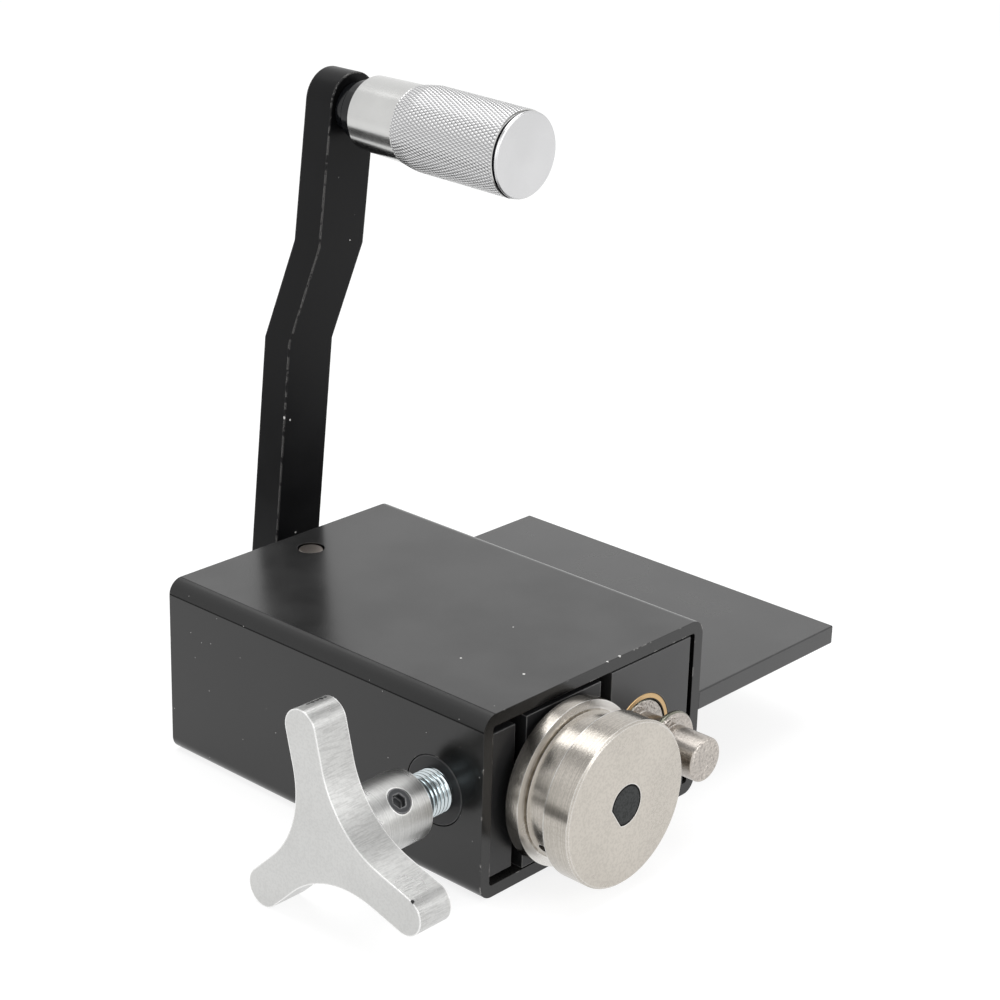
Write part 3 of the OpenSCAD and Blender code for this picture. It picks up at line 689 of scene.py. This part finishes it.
def paint(name, color, roughness, peel_mm, chips, dusty, reach=0.0006, specular=0.5, spots=(), edge=None,
          rolled=None, top_light_tint=None):
    mat, tree, shader = plain_material(name, color, roughness, 0.0, specular)
    normal = tree.nodes.new("ShaderNodeSeparateXYZ")
    tree.links.new(tree.nodes.new("ShaderNodeNewGeometry").outputs["Normal"], normal.inputs[0])
    surface = use_group(tree, grain, Marks_per_metre=PEEL_PER_METRE)
    tone = spread(tree, surface.outputs["Clouds"], *PAINT_CLOUDS)
    base = blend_color(tree, tone, color, scaled(color, PAINT_LIFT))
    specks = use_group(tree, dust, Share=dusty)
    base = blend_color(tree, specks.outputs["Mask"], base, DUST_PALE)
    # A paler colour is painted on faces that point up, as painted light on the top.
    if top_light_tint is not None:
        base = add_painted_top_light(tree, base, surface, normal, top_light_tint)
    worn_and_painted_edge = use_group(tree, wear_and_painted_edges, Amount=chips, Reach=reach)
    # The edge colour is a painted highlight along the corners.
    if edge is not None:
        base = blend_color(tree, worn_and_painted_edge.outputs["Corner"], base, edge)
    base = blend_color(tree, worn_and_painted_edge.outputs["Mask"], base, BARE_STEEL)
    base = add_spots(tree, base, spots, CHIP_PALE)
    tree.links.new(base, shader.inputs["Base Color"])
    tree.links.new(worn_and_painted_edge.outputs["Mask"], shader.inputs["Metallic"])
    rough = cloudy(tree, surface, roughness, PAINT_SHINE)
    if rolled is not None:
        rough = roll_corner(tree, shader, normal, rough, rolled, specular)
    tree.links.new(rough, shader.inputs["Roughness"])
    bump(tree, shader, surface.outputs["Height"], peel_mm)
    return mat


print("bare steel", BARE_STEEL)

# %% [markdown]
# The chips and specks that stand out in the photograph have places of their own, in millimetres,
# with a size in millimetres after each place.

# %% Places of chips and specks
CRANK_CHIPS = [
    ((22.2, 87.0, 50.4), 0.3), ((17.2, 87.0, 93.2), 0.5), ((19.9, 87.0, 91.9), 0.35),
    ((31.1, 76.1, 175.6), 0.7), ((36.7, 75.8, 153.5), 0.25), ((42.1, 75.4, 132.9), 0.4),
]
TOP_SPECKS = [
    ((-25.4, -35.8, 60.0), 0.3), ((-20.1, -56.4, 60.0), 0.4), ((2.2, -31.7, 60.0), 0.25),
    ((4.1, -67.9, 59.9), 0.4), ((9.7, -68.0, 59.9), 0.45),
]
print("chips", len(CRANK_CHIPS), "and specks", len(TOP_SPECKS))

# %% [markdown]
# The housing's paint is glossier than the plate's, and the plate's is a little paler. The crank's is
# the dullest of the three, with chips along its edges. The weld and the two rings by the grip have
# blacks of their own.

# %% Painted finishes
# The housing's and the plate's tops are painted paler, as painted light.
black_satin = paint("black_satin", (0.004, 0.004, 0.004), roughness=0.2, peel_mm=0.008, chips=0.42,
                    dusty=0.16, specular=0.52, spots=TOP_SPECKS, rolled=0.6, top_light_tint=(0.036, 0.036, 0.036))
plate_black = paint("plate_black", (0.018, 0.018, 0.0185), roughness=0.26, peel_mm=0.010, chips=0.44,
                    dusty=0.04, specular=0.68, top_light_tint=(0.042, 0.042, 0.042))
paint("weld_black", (0.02, 0.02, 0.02), roughness=0.5, peel_mm=0.05, chips=0.3, dusty=0.05)
# The crank's edge colour is a painted highlight along its corners.
crank_black = paint("crank_black", (0.004, 0.004, 0.0045), roughness=0.34, peel_mm=0.010, chips=0.58,
                    dusty=0.05, reach=0.0008, specular=0.14, spots=CRANK_CHIPS,
                    edge=(0.045, 0.045, 0.045))
nut_black = paint("nut_black", (0.005, 0.0055, 0.0065), roughness=0.16, peel_mm=0.006, chips=0.3,
                  dusty=0.02, specular=0.35)
print("painted finishes", 5)

# %% [markdown]
# ## Machined metal
# Machined steel and aluminium share a recipe: a metal with a roughness of its own, rings or a
# straight grain for the cutter's path, and a slow change of tone where fingers and oil have been.
# The cutter's path comes first. Lathe lines darken the colour in rings and cut into the height, but
# only on rims, and beyond a given radius a belt's straight strokes can take their place.

# %% Lathe lines and strokes
RING_TONES = (0.35, 0.65)
STROKE_TONES = (0.42, 0.66)
RING_SHADE = 0.45


def add_lines(tree, base, height, turned, color, across, line_mm, streak, brushed_from):
    ringed = spread(tree, turned.outputs["Tone"], *RING_TONES)
    line_height = turned.outputs["Height"]
    if brushed_from is not None:
        outside = math_node(tree, "GREATER_THAN", turned.outputs["Radius"], brushed_from * MM)
        strokes = use_group(tree, brush, Along=tuple(1.0 - c for c in across))
        stroke_tone = spread(tree, strokes.outputs["Height"], *STROKE_TONES)
        ringed = swap(tree, outside, ringed, stroke_tone)
        line_height = swap(tree, outside, line_height, strokes.outputs["Height"])
    amount = spread(tree, turned.outputs["Face"], 0.0, 1.0, streak, 0.0)
    base = blend_color(tree, math_node(tree, "MULTIPLY", ringed, amount), base, scaled(color, RING_SHADE))
    rim = math_node(tree, "SUBTRACT", 1.0, turned.outputs["Face"])
    cut_lines = math_node(tree, "MULTIPLY", line_height, line_mm)
    height = math_node(tree, "ADD", math_node(tree, "MULTIPLY", cut_lines, rim), height)
    return base, height


print("rings shade the colour to", RING_SHADE)

# %% [markdown]
# The nose of the bead shaft was sawn and milled, so its end face has a coarse relief. Its low spots
# are also darker.

# %% Milled end faces
RIPPLES_PER_METRE = 750.0
LOW_SPOTS = (0.5, 0.32)
LOW_SPOT_SHADE = 0.75


def add_milling(tree, base, height, face, color, milled_mm):
    ripples = use_group(tree, grain, Marks_per_metre=RIPPLES_PER_METRE, Detail=1.0)
    raised = math_node(tree, "MULTIPLY", ripples.outputs["Height"], face)
    height = math_node(tree, "ADD", math_node(tree, "MULTIPLY", raised, milled_mm), height)
    low_spots = math_node(tree, "MULTIPLY", spread(tree, ripples.outputs["Height"], *LOW_SPOTS), face)
    return blend_color(tree, low_spots, base, scaled(color, LOW_SPOT_SHADE)), height


print("ripples per metre", RIPPLES_PER_METRE)

# %% [markdown]
# Some bands of a turned piece get painted light: painted shade in a gap or a groove, a dark line
# where two faces meet, and a pale band of painted highlight. A zone says whether it is measured
# along the axis or by the radius, where it starts and ends in millimetres, and its colour.

# %% Zones
def tint_zones(tree, base, turned, zones):
    for label, start, end, tint in zones:
        inside = math_node(tree, "GREATER_THAN", turned.outputs[label], start * MM)
        before = math_node(tree, "LESS_THAN", turned.outputs[label], end * MM)
        base = blend_color(tree, math_node(tree, "MULTIPLY", inside, before), base, tint)
    return base


# Painted light on the die: a pale band of painted highlight on the flange's side, and dark lines of
# painted shade at the flange's root and behind the front disc.
FLANGE_SIDE = ("Along", 6.8, 7.1, (0.80, 0.78, 0.75))
ROOT_LINE = ("Along", 6.3, 6.6, (0.22, 0.20, 0.17))
DISC_LINE = ("Along", -3.0, -2.7, (0.20, 0.19, 0.17))
DIE_ZONES = [FLANGE_SIDE, ROOT_LINE, DISC_LINE]
# Painted shade: on the bead's rim, in the gap round the bush's journal, round the end of the die's shaft
# and in the cap's groove.
BEAD_RIM = ("Radius", 10.6, 11.2, (0.20, 0.20, 0.16))
BUSH_GAP = ("Radius", 10.9, 11.45, (0.02, 0.018, 0.015))
SHAFT_RIM = ("Radius", 5.9, 6.7, (0.002, 0.002, 0.002))
CAP_GROOVE = ("Along", 1.0, 2.3, (0.02, 0.02, 0.025))
print("zones on the die", len(DIE_ZONES))

# %% [markdown]
# One function makes every metal. Besides the cutter's path it can add dark pits, a pale corner
# colour as a painted highlight and a dark one as painted shade, nicks at given places, and colours
# that follow an attribute of the mesh's own points.

# %% Metal
METAL_GRAIN_PER_METRE = 1400.0
METAL_CLOUDS = (0.3, 0.7)
METAL_SHINE = (0.85, 1.2)
PITS = (0.56, 0.40)
PIT_SHADE = 0.35
NICK_DARK = (0.05, 0.05, 0.05)
RIM_SHINE = 0.75


def machined(name, color, roughness, axis_point=None, across=(1, 0, 1), line_mm=0.006, lines=2500.0,
             mottle=0.12, metallic=1.0, streak=0.25, face_grain_mm=0.006, zones=(), corner=None,
             corner_mm=0.3, milled_mm=0.0, speckle=0.0, brushed_from=None, nicks=(), point_tints=()):
    mat, tree, shader = plain_material(name, color, roughness, metallic)
    surface = use_group(tree, grain, Marks_per_metre=METAL_GRAIN_PER_METRE)
    tone = spread(tree, surface.outputs["Clouds"], *METAL_CLOUDS)
    base = blend_color(tree, tone, scaled(color, 1 - mottle), scaled(color, 1 + mottle))
    height = math_node(tree, "MULTIPLY", surface.outputs["Height"], face_grain_mm)
    rough = cloudy(tree, surface, roughness, METAL_SHINE)
    if speckle:
        pits = math_node(tree, "MULTIPLY", spread(tree, surface.outputs["Height"], *PITS), speckle)
        base = blend_color(tree, pits, base, scaled(color, PIT_SHADE))
    if axis_point is not None:
        turned = use_group(tree, rings, Axis_point=axis_point, Across=across, Lines_per_metre=lines)
        face = turned.outputs["Face"]
        base, height = add_lines(tree, base, height, turned, color, across, line_mm, streak, brushed_from)
        if milled_mm:
            base, height = add_milling(tree, base, height, face, color, milled_mm)
        base = tint_zones(tree, base, turned, zones)
        rough = math_node(tree, "MULTIPLY", rough, spread(tree, face, 0.0, 1.0, RIM_SHINE, 1.0))
    # A pale corner colour is a painted highlight, a dark one painted shade.
    if corner is not None:
        edges = use_group(tree, wear_and_painted_edges, Reach=corner_mm * MM)
        base = blend_color(tree, edges.outputs["Corner"], base, corner)
    base = add_spots(tree, base, nicks, NICK_DARK)
    for label, tint in point_tints:
        painted = tree.nodes.new("ShaderNodeAttribute")
        painted.attribute_name = label
        base = blend_color(tree, painted.outputs["Fac"], base, tint)
    tree.links.new(base, shader.inputs["Base Color"])
    tree.links.new(rough, shader.inputs["Roughness"])
    bump(tree, shader, height, 1.0)
    return mat


print("nicks are", NICK_DARK)

# %% [markdown]
# The die and the bead shaft are bare turned steel, warmer than the rest. Their corners get a painted
# highlight. The shaft that carries the die is dull gunmetal, with painted shade round its end and
# along its corners.

# %% Dies and shafts
DIE_NICKS = [((-44.6, -76.0, 44.3), 0.45)]

die_steel = machined("die_steel", (0.55, 0.515, 0.465), 0.3, in_metres(idler), lines=5000.0,
                     streak=0.28, mottle=0.04, face_grain_mm=0.02, speckle=0.16,
                     zones=DIE_ZONES, corner=(0.82, 0.81, 0.79), corner_mm=0.7, nicks=DIE_NICKS)
turned_steel = machined("turned_steel", (0.53, 0.49, 0.45), 0.42, in_metres(drive), lines=5000.0,
                        streak=0.2, face_grain_mm=0.04, milled_mm=0.8, speckle=0.2,
                        zones=[BEAD_RIM], corner=(0.78, 0.77, 0.75), corner_mm=0.55)
idler_steel = machined("idler_steel", (0.045, 0.047, 0.047), 0.42, in_metres(idler), speckle=0.5,
                       face_grain_mm=0.03, zones=[SHAFT_RIM], corner=(0.002, 0.002, 0.002),
                       corner_mm=1.3)
print("metals for the shafts", 3)

# %% [markdown]
# The knob's lobes were finished on a belt and its hub on a lathe. A row of small dark nicks lies on
# the upper lobe's end. The clamp screw is zinc plated, which gives steel a cold, bluish shine.

# %% Knob and screw
KNOB_NICKS = [
    ((-91.2, -39.3, 68.75), 0.55), ((-89.6, -39.2, 68.7), 0.8), ((-87.9, -39.3, 68.75), 0.7),
    ((-86.3, -39.2, 68.7), 0.8), ((-84.8, -39.6, 68.8), 0.5), ((-95.4, -84.9, 26.7), 0.8),
]

# The knob's pale corner colour is a painted highlight.
knob_steel = machined("knob_steel", (0.58, 0.58, 0.57), 0.38, in_metres(screw), across=(0, 1, 1),
                      line_mm=0.03, lines=5200.0, mottle=0.05, streak=0.3, speckle=0.1,
                      corner=(0.95, 0.95, 0.94), corner_mm=0.9, brushed_from=12.0, nicks=KNOB_NICKS)
zinc_steel = machined("zinc_steel", (0.62, 0.68, 0.70), 0.18)
print("nicks on the knob", len(KNOB_NICKS))

# %% [markdown]
# The bushes and washers are bearing bronze, and the dowel and the bearing's race are ground steel.
# The blocks and small screws are blackened, a dark metal with a painted highlight at its corners.
# The bronze gets painted shade at its corners and in the gap round its journal.

# %% Bronze and blackened steel
bronze = machined("bronze", (0.60, 0.41, 0.21), 0.36, in_metres(drive), line_mm=0.004,
                  zones=[BUSH_GAP], corner=(0.22, 0.14, 0.07), corner_mm=0.5)
ground_steel = machined("ground_steel", (0.36, 0.32, 0.29), 0.4)
black_oxide = machined("black_oxide", (0.06, 0.061, 0.065), 0.3, metallic=0.5,
                       corner=(0.42, 0.42, 0.42), corner_mm=0.8)
block_steel = machined("block_steel", (0.055, 0.055, 0.056), 0.42, metallic=0.3,
                       corner=(0.20, 0.20, 0.20), corner_mm=0.6)
slide_steel = machined("slide_steel", (0.022, 0.022, 0.023), 0.36, metallic=0.3,
                       corner=(0.24, 0.24, 0.24), corner_mm=0.6)
print("metals inside the housing", 5)

# %% [markdown]
# The grip is aluminium. Its knurl is paler than its neck and gets painted shade in the grooves, and
# the mesh's points say where that is. The cap's rings are centred on the middle of its own front
# face. Its groove is painted dark as painted shade.

# %% Grip and cap
KNURL_PALE = (0.86, 0.86, 0.86)
GROOVE_DARK = (0.05, 0.05, 0.06)
CAP_RING_DEPTH = 0.33

# The groove colour is painted shade that deepens into the knurl's grooves.
grip_alu = machined("grip_alu", (0.60, 0.60, 0.59), 0.2, mottle=0.05, face_grain_mm=0.002,
                    point_tints=[("knurl", KNURL_PALE), ("groove", GROOVE_DARK)])
cap = middle("grip_cap")
cap_front = (cap.x, low("grip_cap").y + CAP_RING_DEPTH, cap.z)
# The cap's groove zone is painted shade.
cap_alu = machined("cap_alu", (0.64, 0.64, 0.645), 0.4, in_metres(cap_front), mottle=0.04,
                   streak=0.05, face_grain_mm=0.003, zones=[CAP_GROOVE])
print("finishes in all", len(bpy.data.materials))

# %% [markdown]
# ## Softened edges
# No real edge is a mathematical line: it catches a thin highlight. A node's mesh is loose
# triangles, so we copy it, merge the points, dissolve the flat triangles into whole faces and let a
# Bevel modifier round only the sharp corners. The copy then stands for the node.

# %% Copying a node
SAME_POINT_MM = 0.002
FLAT = math.radians(0.4)


def node_copy(node):
    bm = bmesh.new()
    bm.from_mesh(frame["nodes"][node].data)
    bmesh.ops.remove_doubles(bm, verts=bm.verts, dist=SAME_POINT_MM * MM)
    bmesh.ops.dissolve_limit(bm, angle_limit=FLAT, verts=bm.verts, edges=bm.edges)
    return bm


def body_of(node):
    bodies = frame["record"]["behaviour"]["bodies"]
    return [body for body, members in bodies.items() if node in members][0]


print("the housing is part of the body", body_of("housing"))

# %% [markdown]
# Every piece is finished in the same way. Edges under a given angle are shaded smooth, and the
# others stay sharp and are rounded. The piece then rides on its body, takes its material's slot and
# replaces its node.

# %% Finishing a piece
SHARP = math.radians(32)


def finish_mesh(name, bm, body, material, node, edge_mm=0.0, edge_steps=2, sharp=SHARP):
    for face in bm.faces:
        face.smooth = True
    for edge in bm.edges:
        if len(edge.link_faces) == 2:
            edge.smooth = edge.calc_face_angle(0) < sharp
    mesh = bpy.data.meshes.new(name)
    bm.to_mesh(mesh)
    bm.free()
    piece = bpy.data.objects.new(name, mesh)
    scene.collection.objects.link(piece)
    mesh.materials.append(material)
    if edge_mm:
        bevel = piece.modifiers.new("edges", "BEVEL")
        bevel.width = edge_mm * MM
        bevel.segments = edge_steps
        bevel.limit_method = "ANGLE"
        bevel.angle_limit = sharp
        bevel.use_clamp_overlap = True
        even = piece.modifiers.new("even_normals", "WEIGHTED_NORMAL")
        even.keep_sharp = True
    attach(piece, body)
    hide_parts(node)


def dress(node, name, material, edge_mm, edge_steps):
    finish_mesh(name, node_copy(node), body_of(node), material, node, edge_mm, edge_steps)


print("edges are sharp over", round(math.degrees(SHARP)), "degrees")

# %% [markdown]
# Sixteen nodes are dressed. Each line gives the node, the name of its piece, the material, the
# width of the rounded edges in millimetres and the steps that round them.

# %% Dressed nodes
DRESSED = [
    ("housing", "housing_shell", black_satin, 0.45, 3),
    ("mount_plate", "mount_plate_painted", plate_black, 0.5, 3),
    ("fixed_block", "fixed_block_milled", block_steel, 0.3, 2),
    ("sliding_block", "sliding_block_milled", slide_steel, 0.3, 2),
    ("nut_block", "nut_block_milled", slide_steel, 0.3, 2),
    ("drive_front_bush", "front_bush_turned", bronze, 0.25, 2),
    ("crank_arm", "crank_arm_painted", crank_black, 0.5, 3),
    ("star_knob", "star_knob_milled", knob_steel, 0.4, 3),
    ("grooved_die", "grooved_die_turned", die_steel, 0.25, 2),
    ("bead_shaft", "bead_shaft_turned", turned_steel, 0.2, 2),
    ("knob_set_screw", "knob_set_screw_cut", black_oxide, 0.2, 2),
    ("spindle_collar", "spindle_collar_turned", nut_black, 0.5, 2),
    ("grip_spacer", "grip_spacer_turned", nut_black, 0.4, 2),
    ("rear_block_dowel", "rear_block_dowel_ground", ground_steel, 0.3, 2),
    ("idler_shaft", "idler_shaft_turned", idler_steel, 0.3, 2),
    ("grip_cap", "grip_cap_turned", cap_alu, 0.25, 2),
]
for node, name, material, edge_mm, edge_steps in DRESSED:
    dress(node, name, material, edge_mm, edge_steps)
print("dressed", len(DRESSED))

# %% [markdown]
# ## Turned pieces of our own
# A turned piece is a profile spun about its axis. We draw the profile as a chain of points at
# distances from the axis and places along it, and Blender's spin operator sweeps it. The joint's
# record gives the axis of the grip, which leans with the crank.

# %% Axis of a turned piece
def axis_frame(point_mm, axis):
    along = Vector(axis).normalized()
    across = along.orthogonal().normalized()
    side = along.cross(across)
    turn = Matrix((across, side, along)).transposed().to_4x4()
    return Matrix.Translation(Vector(point_mm)) @ turn


def span(node, place):
    back = place.inverted()
    heights = [(back @ (v.co / MM)).z for v in frame["nodes"][node].data.vertices]
    return min(heights), max(heights)


joints = {joint["name"]: joint for joint in frame["record"]["behaviour"]["joints"]}
grip_joint = joints["grip_spin"]
grip_frame = axis_frame(Vector(grip_joint["pos_m"]) / MM, grip_joint["axis"])
print("grip runs from", [round(z, 2) for z in span("grip_body", grip_frame)])

# %% [markdown]
# The profile stands in the XZ plane and turns about Z, in millimetres. The finished mesh is then
# moved to its axis and scaled to metres, so the object itself stays at the origin. Spinning may list
# points and faces in a new order each time, so we sort them by place and get the same mesh each run.

# %% Spinning a profile
SEAM_MM = 0.0005


def in_order(bm):
    for index, vert in enumerate(sorted(bm.verts, key=lambda vert: vert.co[:])):
        vert.index = index
    bm.verts.sort()
    for items in (bm.edges, bm.faces):
        ordered = sorted(items, key=lambda item: sorted(vert.index for vert in item.verts))
        for index, item in enumerate(ordered):
            item.index = index
        items.sort()


def spin_profile(points, steps, closed=False):
    bm = bmesh.new()
    chain = [bm.verts.new((r, 0, z)) for r, z in points]
    edges = [bm.edges.new(pair) for pair in zip(chain, chain[1:])]
    if closed:
        edges.append(bm.edges.new((chain[-1], chain[0])))
    bmesh.ops.spin(bm, geom=chain + edges, cent=(0, 0, 0), axis=(0, 0, 1), angle=2 * math.pi,
                   steps=steps, use_merge=True)
    bmesh.ops.remove_doubles(bm, verts=bm.verts, dist=SEAM_MM)
    bmesh.ops.recalc_face_normals(bm, faces=bm.faces)
    in_order(bm)
    return bm


def place_mm(bm, place):
    bm.transform(Matrix.Scale(MM, 4) @ place)


print("points closer than", SEAM_MM, "mm are merged")

# %% [markdown]
# ## The knurled grip
# A knurl is two families of grooves that cross and leave small pyramids. We spin the smooth profile
# with six points for each pyramid, both round the grip and along it, and then push every point
# towards the axis by the depth of the nearer groove.

# %% Knurl pattern
KNURL_ROUND = 74
KNURL_PITCH = 2.55
KNURL_DEPTH = 0.38
POINTS_PER_PYRAMID = 6


def saw(value):
    return abs((value % 1.0) - 0.5) * 2


def knurl_height(angle, z):
    u = angle * KNURL_ROUND / (2 * math.pi)
    v = z / KNURL_PITCH
    return min(saw(u + v), saw(u - v))


print("points round the grip", KNURL_ROUND * POINTS_PER_PYRAMID)

# %% [markdown]
# The profile is a cylinder that narrows at its shoulder and ends in a smooth neck at the back. At
# both ends of the knurl the radius steps in a little, as it does where a knurling tool stops.

# %% Grip profile
GRIP_RADIUS = 14.05
EDGE_STEP = 0.15
END_ROUND = 0.25
SHOULDER_LEN = 6.6
SHOULDER_POWER = 1.3
NECK_FRONT_RADIUS = 12.98
NECK_RADIUS = 12.2
NECK_LEN = 20.0
NECK_LIP = 0.1
NECK_ROUND = 0.4
SPINDLE_HOLE = 6.1

grip_front, grip_back = span("grip_body", grip_frame)
knurl_front = grip_front + 2 * END_ROUND
neck_front = grip_back - NECK_LEN
shoulder = neck_front - SHOULDER_LEN
step = KNURL_PITCH / POINTS_PER_PYRAMID
rows = int((neck_front - knurl_front) / step)
outline = [(SPINDLE_HOLE, grip_front), (GRIP_RADIUS - END_ROUND - EDGE_STEP, grip_front),
           (GRIP_RADIUS - EDGE_STEP, grip_front + END_ROUND)]
for row in range(rows + 1):
    z = knurl_front + row * step
    share = max(0.0, min(1.0, (z - shoulder) / SHOULDER_LEN))
    outline.append((GRIP_RADIUS - (GRIP_RADIUS - NECK_FRONT_RADIUS) * share ** SHOULDER_POWER, z))
outline += [(NECK_FRONT_RADIUS - EDGE_STEP, neck_front + NECK_LIP), (NECK_RADIUS, grip_back - NECK_ROUND),
            (NECK_RADIUS - NECK_ROUND, grip_back), (SPINDLE_HOLE, grip_back)]
print("grip rows", rows)

# %% [markdown]
# Each point on the knurl moves towards the axis by the depth of its groove. Two attributes remember
# where the knurl is and how deep each point lies, and the grip's material reads them for its
# colours, the depth for the painted shade in the grooves.

# %% Knurled grip
HAIR = 0.01
GROOVE_POWER = 3
KNURL_SHARP = math.radians(14)

knurled = spin_profile(outline, KNURL_ROUND * POINTS_PER_PYRAMID, closed=True)
groove_layer = knurled.verts.layers.float.new("groove")
knurl_layer = knurled.verts.layers.float.new("knurl")
for vert in knurled.verts:
    reach = vert.co.xy.length
    if knurl_front - HAIR < vert.co.z < neck_front and reach > NECK_FRONT_RADIUS - HAIR:
        angle = math.atan2(vert.co.y, vert.co.x)
        deep = KNURL_DEPTH * (1 - knurl_height(angle, vert.co.z))
        vert.co.xy *= (reach - deep) / reach
        vert[groove_layer] = (deep / KNURL_DEPTH) ** GROOVE_POWER
        vert[knurl_layer] = 1.0
print("points on the grip", len(knurled.verts))
place_mm(knurled, grip_frame)
finish_mesh("grip_knurled", knurled, "grip", grip_alu, "grip_body", sharp=KNURL_SHARP)

# %% [markdown]
# ## The clamp screw's thread
# A real thread is a helix. The spin operator can climb while it turns, so one tooth's profile swept
# over many turns gives the whole thread, and a plain core closes the ends.

# %% Thread
THREAD_PITCH = 1.5
THREAD_DEPTH = 0.86
THREAD_STEPS = 40
ROD_RADIUS = 7.0
CREST_GAP = 0.02
CREST_FROM = 0.62
CREST_TO = 0.88
THREAD_SEAM_MM = 0.001
TIP_GAP = 0.4

screw_frame = axis_frame((0, screw.y, screw.z), (1, 0, 0))
screw_start, screw_end = span("clamp_screw", screw_frame)
tip_len = screw_end - (low("sliding_block").x - TIP_GAP)
neck = screw_end - tip_len
turns = int((neck - screw_start) / THREAD_PITCH) - 1
root = ROD_RADIUS - THREAD_DEPTH
crest = ROD_RADIUS - CREST_GAP
tooth = [(root, 0), (crest, CREST_FROM), (crest, CREST_TO), (root, THREAD_PITCH)]
thread = bmesh.new()
chain = [thread.verts.new((r, 0, screw_start + z)) for r, z in tooth]
edges = [thread.edges.new(pair) for pair in zip(chain, chain[1:])]
bmesh.ops.spin(thread, geom=chain + edges, cent=(0, 0, 0), axis=(0, 0, 1), angle=2 * math.pi * turns,
               dvec=(0, 0, THREAD_PITCH / THREAD_STEPS), steps=THREAD_STEPS * turns, use_merge=False)
bmesh.ops.remove_doubles(thread, verts=thread.verts, dist=THREAD_SEAM_MM)
bmesh.ops.recalc_face_normals(thread, faces=thread.faces)
print("thread turns", turns)

# %% [markdown]
# The core is a spun profile with a thin neck and a wider button at its tip, and the sliding block
# holds the button. Both meshes together make the one piece that stands for the screw.

# %% Clamp screw
CORE_OVERLAP = 0.03
TIP_NECK_RADIUS = 2.8
TIP_NECK_LEN = 2.3
TIP_RADIUS = 4.5

core = root + CORE_OVERLAP
tip_front = neck + TIP_NECK_LEN
core_bm = spin_profile([(0, screw_start), (core, screw_start), (core, neck), (TIP_NECK_RADIUS, neck),
                        (TIP_NECK_RADIUS, tip_front), (TIP_RADIUS, tip_front), (TIP_RADIUS, screw_end),
                        (0, screw_end)], THREAD_STEPS)
core_mesh = bpy.data.meshes.new("core")
core_bm.to_mesh(core_mesh)
core_bm.free()
thread.from_mesh(core_mesh)
bpy.data.meshes.remove(core_mesh)
place_mm(thread, screw_frame)
finish_mesh("clamp_screw_threaded", thread, body_of("clamp_screw"), zinc_steel, "clamp_screw")
print("tip length", round(tip_len, 2))

# %% [markdown]
# ## Everything else
# The pieces inside keep their node's own mesh and get the finish of their slot.

# %% Materials for the remaining nodes
finishes = {mat.name: mat for mat in bpy.data.materials}
for entry in frame["record"]["subparts"]:
    node = frame["nodes"][entry["node"]]
    node.data.materials.append(finishes[entry["material_slot"]])
